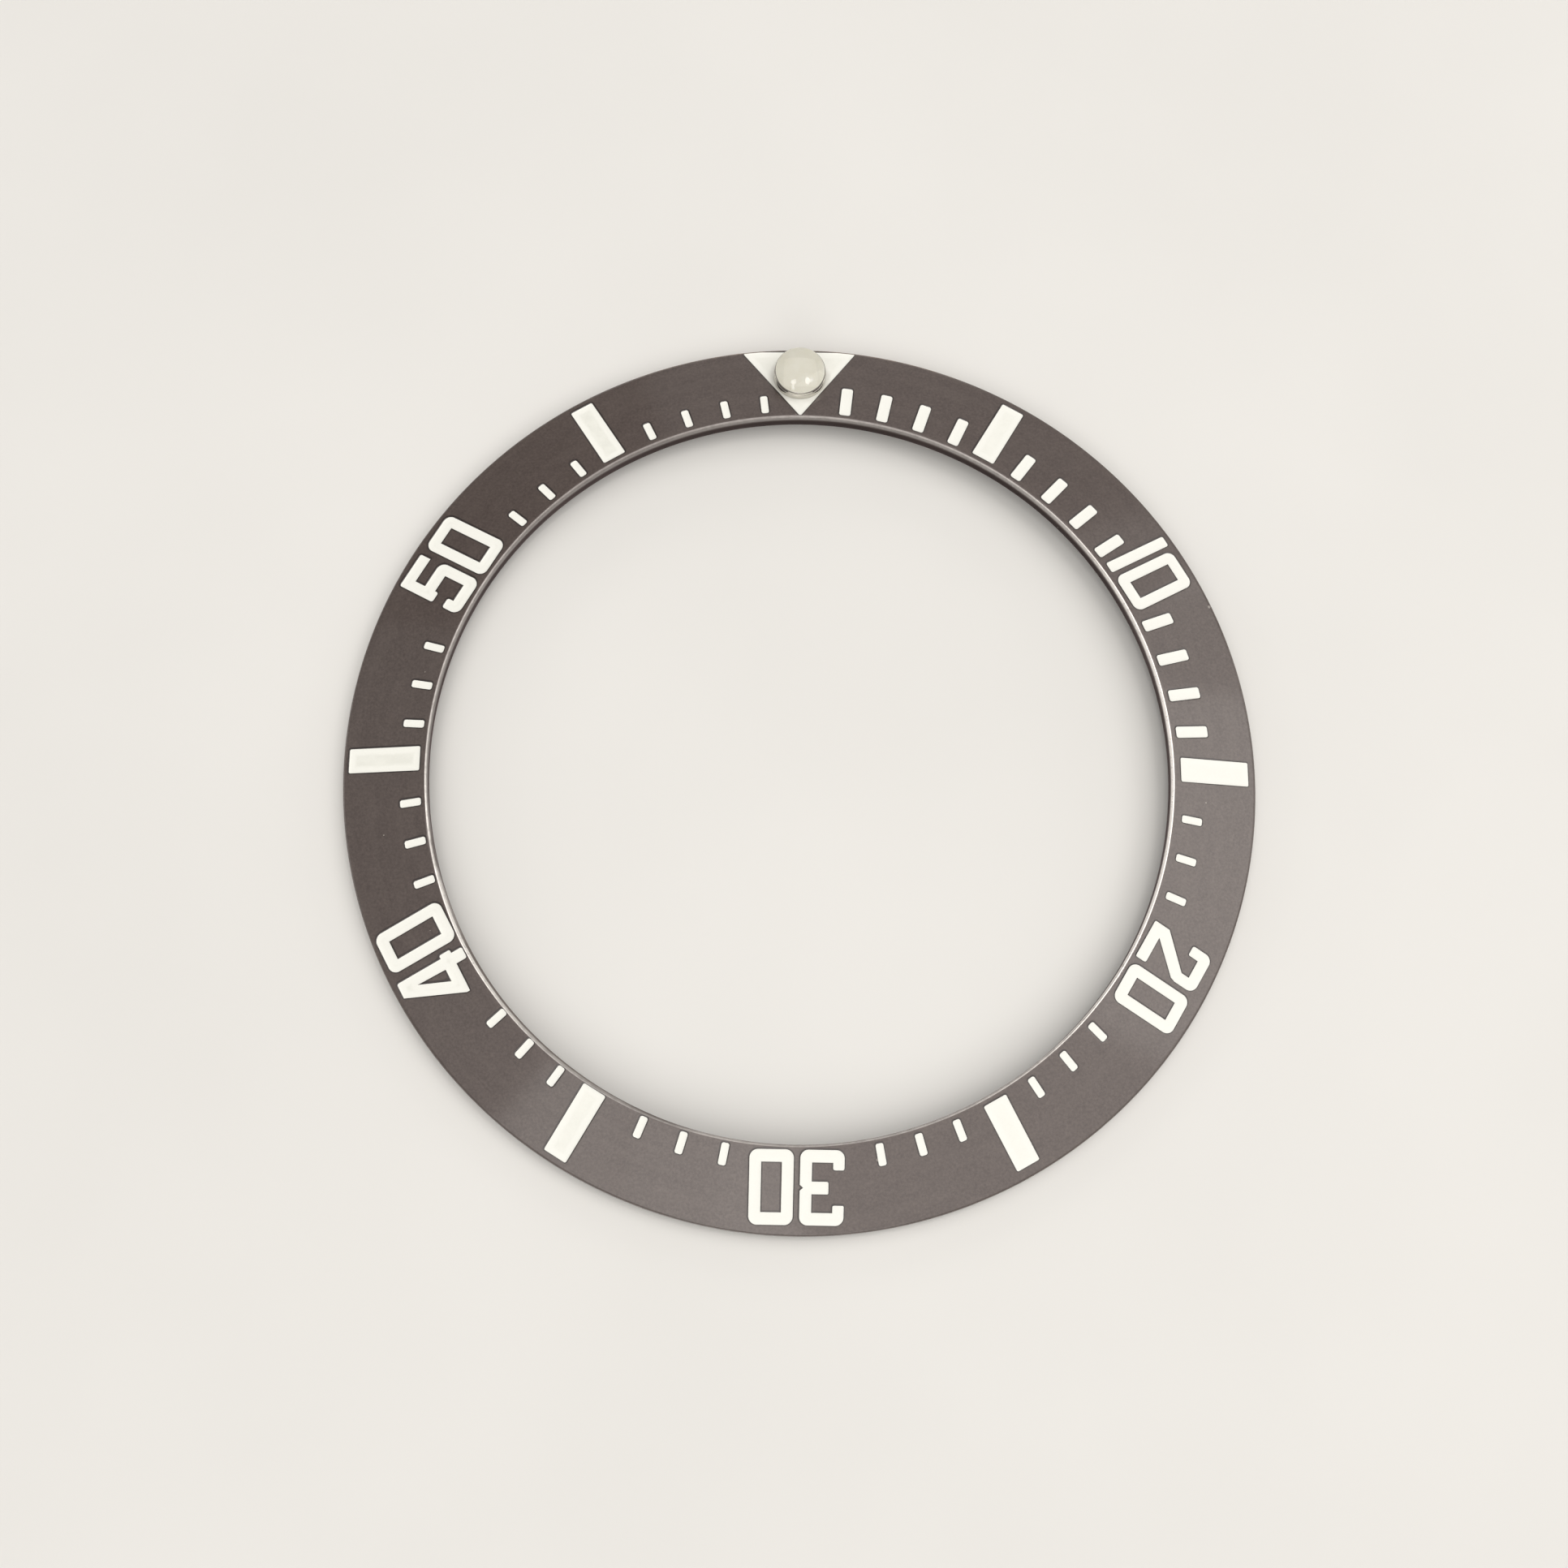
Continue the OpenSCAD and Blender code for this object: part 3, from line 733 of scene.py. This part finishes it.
def clock(stops):
    """Stops (degrees clockwise from 12, value) as ramp stops that start and end at 6 o'clock."""
    out = sorted((((d / 360) + 0.5) % 1.0, v) for d, v in stops)
    a, b = out[-1], out[0]
    f = (1 - a[0]) / (1 - a[0] + b[0])
    end = a[1] + (b[1] - a[1]) * f
    return [(0.0, end)] + out + [(1.0, end)]


# Painted shade round the clock, strongest on the side away from the light: how strong the darker paint middles and the
# painted shadow line round the marks are
SHADE_ROUND_CLOCK = clock([(0, 0.6), (40, 0.5), (70, 0.2), (100, 0.15), (140, 0.3), (180, 0.4), (215, 0.6), (250, 0.9), (330, 1.0)])
# Wear of the hole's edge round the clock, its amount partly a painted highlight: amount, depth + 0.1 mm, tan bevel,
# metal and place of the arris + 0.2 mm
WEAR_AND_HIGHLIGHT = clock([(0, 0.26), (12, 0.23), (24, 0.31), (38, 0.38), (50, 0.66), (60, 1.0), (90, 1.25), (118, 1.25),
              (130, 1.0), (142, 0.60), (156, 0.36), (205, 0.34), (222, 0.50), (232, 0.95), (241, 1.4), (252, 1.05),
              (264, 0.76), (274, 0.48), (282, 0.34), (300, 0.29), (312, 0.18), (336, 0.17), (348, 0.22)])
WEAR_DEPTH = clock([(0, 0.36), (40, 0.30), (60, 0.24), (85, 0.30), (110, 0.22), (130, 0.14), (150, 0.13), (205, 0.20),
                    (215, 0.50), (245, 0.50), (254, 0.18), (264, 0.10), (280, 0.11), (292, 0.17), (310, 0.30),
                    (335, 0.34)])
WEAR_BEVEL = clock([(0, 0.0), (205, 0.0), (214, 0.9), (240, 1.0), (247, 0.6), (253, 0.0)])
WEAR_METAL = clock([(0, 1.0), (45, 1.0), (60, 0.35), (115, 0.35), (135, 0.9), (200, 0.8), (222, 0.5), (232, 0.45),
                    (246, 0.45), (256, 0.6), (275, 1.0)])
ARRIS = clock([(0, 0.30), (40, 0.25), (60, 0.215), (80, 0.195), (95, 0.195), (110, 0.225), (120, 0.245), (130, 0.25),
               (140, 0.265), (160, 0.31), (180, 0.37), (195, 0.42), (203, 0.445), (212, 0.465), (222, 0.477),
               (232, 0.479), (242, 0.474), (250, 0.42), (257, 0.37), (264, 0.325), (272, 0.305), (290, 0.30), (330, 0.30)])


def mat_ring():
    t = Tree("anodised_aluminium")
    pos, x, y, z, r, ang = t.coords()
    # turning marks: fine noise drawn out round the ring (sin and cos keep it seamless)
    s, c = t.math("SINE", ang), t.math("COSINE", ang)
    ringed = t.combine(t.math("MULTIPLY", s, 2.2), t.math("MULTIPLY", c, 2.2), t.math("MULTIPLY", r, 26.0))
    brush = t.noise(ringed, 1.0, 4.0, 0.6)
    broad = t.combine(t.math("MULTIPLY", s, 5.0), t.math("MULTIPLY", c, 5.0), t.math("MULTIPLY", r, 2.2))
    bands = t.noise(broad, 1.0, 3.0, 0.5)
    grain = t.noise(pos, 9.5, 3.0, 0.68)
    cloud = t.noise(pos, 1.3, 4.0, 0.6)
    base = t.mix(t.remap(cloud, 0.35, 0.65), (0.078, 0.0605, 0.0535, 1), (0.090, 0.0705, 0.0625, 1))
    base = t.mix(t.remap(grain, 0.3, 0.7, 0.0, 0.75), base, (0.036, 0.0275, 0.0240, 1))
    base = t.mix(t.remap(bands, 0.42, 0.66, 0.0, 0.22), base, (0.102, 0.083, 0.073, 1))
    # painted shadow: a thin dark line round the pockets' edges, stronger away from the light
    turn = t.math("ADD", t.math("DIVIDE", ang, 2 * math.pi), 0.5)
    far = t.ramp(turn, SHADE_ROUND_CLOCK)
    at = t.node("Attribute", {"attribute_name": "mark_mm", "attribute_type": "GEOMETRY"})
    near = t.math("ADD", at.outputs["Fac"], t.remap(cloud, 0.3, 0.7, -0.010, 0.010))
    near = t.math("SUBTRACT", near, t.math("MULTIPLY", far, 0.018))
    line = t.remap(near, 0.026, 0.070, 0.95, 0.0, True)
    base = t.mix(line, base, (0.011, 0.0082, 0.007, 1))
    # the hole's edge is worn bright, partly real wear and partly a painted highlight: how much, how far in from the
    # arris, and how deep down the wall
    wear_and_highlight = t.ramp(turn, WEAR_AND_HIGHLIGHT)
    depth = t.ramp(turn, WEAR_DEPTH)
    edge = t.math("SUBTRACT", t.math("SUBTRACT", r, RI - 0.2), t.ramp(turn, ARRIS))
    wear_n = t.noise(t.combine(t.math("MULTIPLY", s, 9.0), t.math("MULTIPLY", c, 9.0), t.math("MULTIPLY", z, 3.0)), 1.0, 4.0, 0.6)
    fine_n = t.noise(t.combine(t.math("MULTIPLY", s, 60.0), t.math("MULTIPLY", c, 60.0), t.math("MULTIPLY", z, 9.0)), 1.0, 3.0, 0.6)
    # painted shade: the inner wall is darkened towards the bottom of the hole
    inner = t.math("LESS_THAN", edge, 0.03)
    wall = t.math("MULTIPLY", inner, t.remap(z, LIP_Z + 0.02, LIP_Z - 0.40, 0.0, 1.0, True))
    base = t.mix(wall, base, (0.012, 0.0100, 0.0080, 1))
    thin = t.math("MULTIPLY", t.remap(edge, -0.10, -0.14, 0.0, 1.0, True), t.ramp(turn, WEAR_BEVEL))
    base = t.mix(t.math("MULTIPLY", thin, t.remap(fine_n, 0.3, 0.6, 0.7, 1.0)), base, (0.15, 0.129, 0.115, 1))
    low = t.math("ADD", t.math("SUBTRACT", LIP_Z + 0.135, depth), t.remap(wear_n, 0.3, 0.7, -0.015, 0.015))
    arris = t.remap(t.math("DIVIDE", t.math("SUBTRACT", z, low), t.math("ADD", t.math("MULTIPLY", depth, 1.2), -0.075)), 0.0, 1.0, 0.0, 1.0, True)
    arris = t.math("MULTIPLY", arris, t.remap(edge, -0.014, 0.014, 1.0, 0.0, True))
    arris = t.math("MULTIPLY", arris, t.math("SUBTRACT", 1.0, thin, clamp=True))
    bare_and_highlight = t.math("MULTIPLY", arris, t.math("MULTIPLY", wear_and_highlight, t.remap(fine_n, 0.32, 0.6, 0.75, 1.1)), clamp=True)
    # painted highlight: where the metal is low, the bright worn colour is diffuse and shows as a white band where a
    # reflection would be
    base = t.mix(bare_and_highlight, base, (0.90, 0.865, 0.83, 1))
    # brown stain along the outside edge
    stain_n = t.noise(t.combine(t.math("MULTIPLY", s, 16.0), t.math("MULTIPLY", c, 16.0), r), 1.0, 3.0, 0.6)
    stain = t.math("MULTIPLY", t.remap(r, 18.90, 18.975, 0.0, 1.0, True), t.remap(c, 0.90, 0.985, 0.0, 1.0, True))
    stain = t.math("MULTIPLY", stain, t.remap(stain_n, 0.35, 0.6, 0.2, 0.9))
    base = t.mix(stain, base, (0.21, 0.125, 0.070, 1))
    rim = t.math("MULTIPLY", t.remap(r, 18.955, 18.992, 0.0, 1.0, True), t.remap(fine_n, 0.45, 0.65, 0.0, 0.35))
    base = t.mix(rim, base, (0.28, 0.245, 0.215, 1))
    # specks of dust
    v = t.node("TexVoronoi", {"feature": "F1"}, Vector=pos)
    v.inputs["Scale"].default_value = 0.62
    size = t.node("TexVoronoi", {"feature": "F1"}, Vector=pos)
    size.inputs["Scale"].default_value = 0.62
    rad = t.math("MULTIPLY", t.node("SeparateColor", None, Color=size.outputs["Color"]).outputs[0], 0.055)
    speck = t.math("LESS_THAN", v.outputs["Distance"], rad)
    base = t.mix(t.math("MULTIPLY", speck, 0.5), base, (0.42, 0.39, 0.35, 1))
    t.put(t.b, "Base Color", base)
    # the painted shade on the lower wall also turns its dark colour metallic and takes its coat away, so it reflects
    # little
    deep = t.math("MULTIPLY", t.remap(wall, 0.0, 0.45, 0.0, 1.0), t.math("SUBTRACT", 1.0, bare_and_highlight))
    t.put(t.b, "Metallic", t.math("ADD", t.math("MULTIPLY", bare_and_highlight, t.ramp(turn, WEAR_METAL)), deep, clamp=True))
    coat = t.math("MULTIPLY", t.remap(bare_and_highlight, 0.0, 1.0, 1.0, 0.15), t.remap(grain, 0.3, 0.7, 0.98, 0.80))
    t.put(t.b, "Coat Weight", t.math("MULTIPLY", coat, t.remap(wall, 0.0, 0.5, 1.0, 0.05)))
    t.put(t.b, "Roughness", t.mixf(bare_and_highlight, t.remap(brush, 0.3, 0.7, 0.40, 0.52), t.remap(fine_n, 0.3, 0.6, 0.22, 0.36)))
    h = t.math("ADD", t.math("MULTIPLY", brush, 0.6), t.math("MULTIPLY", grain, 0.5))
    t.put(t.b, "Normal", t.bump(h, 0.35, 0.000004))
    set_in(t.b, IOR=1.5, Specular_Tint=(1.0, 0.865, 0.875, 1), Coat_Roughness=0.10, Coat_IOR=1.6)
    return t.mat


def mat_paint():
    t = Tree("scale_enamel")
    pos, x, y, z, r, ang = t.coords()
    at = t.node("Attribute", {"attribute_name": "edge_mm", "attribute_type": "GEOMETRY"})
    d = at.outputs["Fac"]
    cloud = t.noise(pos, 2.1, 4.0, 0.6)
    fine = t.noise(pos, 14.0, 3.0, 0.6)
    wob = t.math("ADD", d, t.remap(cloud, 0.3, 0.7, -0.05, 0.05))
    # brighter paint rims and darker middles, stronger on the side away from the light: painted highlight and shade over
    # the paint's own creamier middles
    far = t.ramp(t.math("ADD", t.math("DIVIDE", ang, 2 * math.pi), 0.5), SHADE_ROUND_CLOCK)
    rim = t.mix(far, (0.815, 0.822, 0.785, 1), (0.86, 0.866, 0.82, 1))
    mid = t.mix(t.remap(cloud, 0.38, 0.62), (0.755, 0.762, 0.71, 1), (0.805, 0.812, 0.76, 1))
    col = t.mix(t.math("MULTIPLY", t.remap(wob, 0.19, 0.34, 0.0, 1.0, True), far), rim, mid)
    col = t.mix(t.remap(fine, 0.35, 0.75, 0.0, 0.07), col, (0.60, 0.58, 0.50, 1))
    # painted contact shade: the paint is greyed against the pearl's neck, more on its left and right
    rho, u, v = around_pearl(t, x, y)
    neck_shade = t.math("MULTIPLY", t.remap(t.math("ADD", rho, t.remap(cloud, 0.3, 0.7, -0.06, 0.06)), 1.12, 1.46, 1.0, 0.0, True),
                  t.math("ADD", t.math("MULTIPLY", t.math("ABSOLUTE", u), 0.30), 0.22))
    col = t.mix(neck_shade, col, (0.43, 0.415, 0.375, 1))
    t.put(t.b, "Base Color", col)
    t.put(t.b, "Roughness", t.remap(fine, 0.3, 0.7, 0.38, 0.5))
    t.put(t.b, "Normal", t.bump(t.math("ADD", t.math("MULTIPLY", cloud, 0.7), t.math("MULTIPLY", fine, 0.3)), 0.3, 0.00002))
    set_in(t.b, IOR=1.5, Specular_IOR_Level=0.5)
    return t.mat


def mat_glass():
    t = Tree("pearl_acrylic")
    pos, x, y, z, r, ang = t.coords()
    smear = t.noise(pos, 1.6, 3.0, 0.5)
    t.put(t.b, "Roughness", t.remap(smear, 0.4, 0.7, 0.03, 0.06))
    set_in(t.b, Base_Color=(1.0, 0.998, 0.985, 1), IOR=1.49, Transmission_Weight=1.0)
    return t.mat


def mat_lume():
    t = Tree("pearl_lume_compound")
    pos, x, y, z, r, ang = t.coords()
    cloud = t.noise(pos, 2.4, 4.0, 0.6)
    grain = t.noise(pos, 22.0, 3.0, 0.7)
    col = t.mix(t.remap(cloud, 0.35, 0.65), (0.91, 0.895, 0.80, 1), (0.95, 0.94, 0.86, 1))
    col = t.mix(t.remap(grain, 0.35, 0.7, 0.0, 0.12), col, (0.84, 0.80, 0.68, 1))
    t.put(t.b, "Base Color", col)
    t.put(t.b, "Roughness", t.remap(grain, 0.3, 0.7, 0.6, 0.75))
    t.put(t.b, "Normal", t.bump(grain, 0.3, 0.00002))
    return t.mat


def around_pearl(t, x, y):
    """Distance from the pearl's axis in mm, and the direction's cosines."""
    dy = t.math("SUBTRACT", y, PEARL_Y)
    rho = t.math("SQRT", t.math("ADD", t.math("MULTIPLY", x, x), t.math("MULTIPLY", dy, dy)))
    safe = t.math("MAXIMUM", rho, 0.001)
    return rho, t.math("DIVIDE", x, safe), t.math("DIVIDE", dy, safe)


def mat_steel():
    t = Tree("pearl_sleeve_steel")
    pos, x, y, z, r, ang = t.coords()
    cloud = t.noise(pos, 3.5, 4.0, 0.6)
    scratch = t.noise(t.combine(t.math("MULTIPLY", x, 2.0), t.math("MULTIPLY", y, 2.0), t.math("MULTIPLY", z, 45.0)), 1.0, 3.0, 0.6)
    steel = t.mix(t.remap(cloud, 0.35, 0.65), (0.60, 0.575, 0.53, 1), (0.67, 0.65, 0.60, 1))
    # painted shade: the seam between the lip and the dome is darkened and made less metallic, heaviest on the 15 minute
    # side
    rho, u, v = around_pearl(t, x, y)
    much = t.math("ADD", t.math("ADD", t.math("MULTIPLY", t.math("ABSOLUTE", u), 0.35), t.math("MULTIPLY", u, 0.15)), 0.35)
    much = t.math("MULTIPLY", much, t.remap(v, 0.35, 0.85, 1.0, 0.0))
    much = t.math("MULTIPLY", much, t.remap(cloud, 0.3, 0.7, 0.85, 1.1))
    seam_shade = t.math("MULTIPLY", t.remap(z, 1.832, 1.846, 0.0, 1.0), much, clamp=True)
    t.put(t.b, "Base Color", t.mix(seam_shade, steel, (0.055, 0.048, 0.040, 1)))
    t.put(t.b, "Metallic", t.math("SUBTRACT", 1.0, t.math("MULTIPLY", seam_shade, 0.9)))
    t.put(t.b, "Roughness", t.remap(t.math("ADD", cloud, scratch), 0.7, 1.3, 0.09, 0.20))
    t.put(t.b, "Normal", t.bump(scratch, 0.15, 0.000003))
    return t.mat


def mat_seal():
    t = Tree("pearl_lacquer")
    pos, x, y, z, r, ang = t.coords()
    cloud = t.noise(pos, 3.0, 4.0, 0.6)
    t.put(t.b, "Base Color", t.mix(t.remap(cloud, 0.35, 0.65), (0.30, 0.28, 0.24, 1), (0.36, 0.34, 0.30, 1)))
    t.put(t.b, "Roughness", t.remap(cloud, 0.3, 0.7, 0.45, 0.6))
    t.put(t.b, "Normal", t.bump(cloud, 0.3, 0.00003))
    return t.mat


def mat_floor():
    t = Tree("pale_floor")
    pos, x, y, z, r, ang = t.coords()
    cloud = t.noise(pos, 0.05, 3.0, 0.5)
    t.put(t.b, "Base Color", t.mix(t.remap(cloud, 0.35, 0.65), (0.70, 0.695, 0.68, 1), (0.72, 0.715, 0.70, 1)))
    set_in(t.b, Roughness=0.75, Specular_IOR_Level=0.2)
    return t.mat


def dress(ob, mat, node):
    ob.data.materials.clear()
    ob.data.materials.append(mat)
    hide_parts(node)
    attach(ob, "root")


dress(ring, mat_ring(), "insert_ring")
paint = mat_paint()
for n, ob in fills.items():
    dress(ob, paint, n)
dress(sleeve, mat_steel(), "pearl_sleeve")
dress(lens, mat_glass(), "pearl_lens")
dress(lume, mat_lume(), "pearl_lume")
dress(seal, mat_seal(), "pearl_back_seal")

# the CAD nodes are hidden, but carry the same finishes
for n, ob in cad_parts.items():
    m = {"insert_ring": ring, "pearl_sleeve": sleeve, "pearl_lens": lens, "pearl_lume": lume, "pearl_back_seal": seal}.get(n) or fills[n]
    ob.data.materials.clear()
    ob.data.materials.append(m.data.materials[0])

# ------------------------------------------------------------------ floor, light, camera
fm = bpy.data.meshes.new("floor")
S = 1.6
fm.from_pydata([(-S, -S, -2e-6), (S, -S, -2e-6), (S, S, -2e-6), (-S, S, -2e-6)], [], [(0, 1, 2, 3)])
floor = bpy.data.objects.new("floor", fm)
bpy.context.scene.collection.objects.link(floor)
floor.data.materials.append(mat_floor())

world = bpy.data.worlds.new("studio")
bpy.context.scene.world = world
world.use_nodes = True
bg = world.node_tree.nodes["Background"]
bg.inputs[0].default_value = (1.0, 0.985, 0.96, 1)
bg.inputs[1].default_value = 0.32


def softbox(name, direction, dist, w, h, radiance, colour=(1.0, 0.975, 0.93)):
    """Area light looking at the ring. radiance is what a mirror would show of it."""
    d = Vector(direction).normalized()
    li = bpy.data.lights.new(name, "AREA")
    li.shape, li.size, li.size_y = "RECTANGLE", w, h
    li.energy = radiance * math.pi * w * h
    li.color = colour
    ob = bpy.data.objects.new(name, li)
    ob.location = d * dist
    ob.rotation_mode = "QUATERNION"
    ob.rotation_quaternion = d.to_track_quat("Z", "Y")
    bpy.context.scene.collection.objects.link(ob)
    return ob


def panel(name, x0, x1, y0, y1, radiance, height=0.6, colour=(1.0, 0.965, 0.92)):
    """Horizontal light panel over the ring; x and y are directions seen from the ring, as x/z and y/z."""
    w, h = (x1 - x0) * height, (y1 - y0) * height
    li = bpy.data.lights.new(name, "AREA")
    li.shape, li.size, li.size_y = "RECTANGLE", w, h
    li.energy = radiance * math.pi * w * h
    li.color = colour
    ob = bpy.data.objects.new(name, li)
    ob.location = ((x0 + x1) / 2 * height, (y0 + y1) / 2 * height, height)
    bpy.context.scene.collection.objects.link(ob)
    return ob


WARM = (1.0, 0.965, 0.92)
main = panel("main_panel", 0.0, 2.72, 0.0, 1.5, 1.0, 0.60)
# the main panel is turned, so its long edge runs from front left to back right
u = Vector((0.773, 0.634, 0))
p = Vector((u.y, -u.x, 0))
mid = (Vector((-0.455, -0.312, 0)) + u * 0.485 + p * 0.75) * 0.60
main.matrix_world = Matrix.Translation((mid.x, mid.y, 0.60)) @ Matrix.Rotation(math.atan2(u.y, u.x), 4, "Z")
panel("right_panel", 0.58, 1.15, -0.25, 0.52, 0.95, 0.57)
panel("right_back_panel", 0.60, 1.15, 0.775, 0.98, 0.60, 0.57)
panel("front_panel", -0.12, 0.04, -1.15, -0.20, 0.95, 0.58)
panel("front_middle_panel", -0.28, -0.12, -1.15, -0.20, 0.70, 0.58)
panel("front_left_panel", -0.47, -0.28, -1.15, -0.20, 0.24, 0.58)
panel("left_step", -0.69, -0.30, -1.1, -0.05, 0.32, 0.575)
panel("zenith_panel", -0.40, 0.50, 0.0, 0.95, 1.30, 0.62)
card = new_mesh("dark_card", [(x * 650, y * 650, 650) for x, y in ((-1.15, 0.66), (-0.30, 0.66), (-0.30, 1.75), (-1.15, 1.75))],
                [(0, 1, 2, 3)])
dark = Tree("dark_card")
dark_n = dark.noise(dark.node("TexCoord").outputs["Object"], 4.0)
dark.put(dark.b, "Base Color", dark.mix(dark_n, (0.018, 0.018, 0.018, 1), (0.022, 0.022, 0.022, 1)))
set_in(dark.b, Roughness=0.9)
card.data.materials.append(dark.mat)
softbox("low_left", (-0.93, 0.15, 0.34), 0.60, 0.30, 0.12, 1.8, WARM)
softbox("low_right", (0.93, 0.25, 0.34), 0.60, 0.30, 0.12, 1.8, WARM)
softbox("low_front", (0.0, -0.85, 0.52), 0.60, 0.34, 0.16, 1.8, WARM)
softbox("low_back", (0.0, 0.93, 0.36), 0.60, 0.40, 0.14, 1.5, WARM)
# small bright windows that the pearl's dome mirrors
panel("window_a", -0.197, -0.081, 0.061, 0.176, 6.5, 0.55)
panel("window_a_low", -0.183, -0.122, -0.088, 0.061, 6.5, 0.55)
panel("window_b", 0.150, 0.285, 0.064, 0.250, 6.5, 0.55).data.shape = "ELLIPSE"
panel("window_b_side", 0.285, 0.366, 0.120, 0.235, 3.0, 0.55)

RX, RY, RZ = -0.242273391, 0.0280198367, 0.00451844773
T = Vector((0.760929885, 0.694565011, -87.3828070))
rot = Matrix.Rotation(RX, 3, "X") @ Matrix.Rotation(RY, 3, "Y") @ Matrix.Rotation(RZ, 3, "Z")
z_fit = RIM_H + (RO - 17.089947) * K
cam_data = bpy.data.cameras.new("camera")
cam_data.sensor_fit, cam_data.sensor_width = "AUTO", 36.0
cam_data.lens = 2600.0 / 1932.0 * 36.0
cam_data.clip_start, cam_data.clip_end = 0.005, 10.0
cam = bpy.data.objects.new("camera", cam_data)
loc = -(rot.transposed() @ T) + Vector((0, 0, z_fit))
cam.matrix_world = Matrix.Translation(loc * MM) @ rot.transposed().to_4x4()
bpy.context.scene.collection.objects.link(cam)
bpy.context.scene.camera = cam

vs = bpy.context.scene.view_settings
vs.view_transform = "Standard"
vs.look = "None"
vs.exposure = 0.0

bpy.context.view_layer.update()
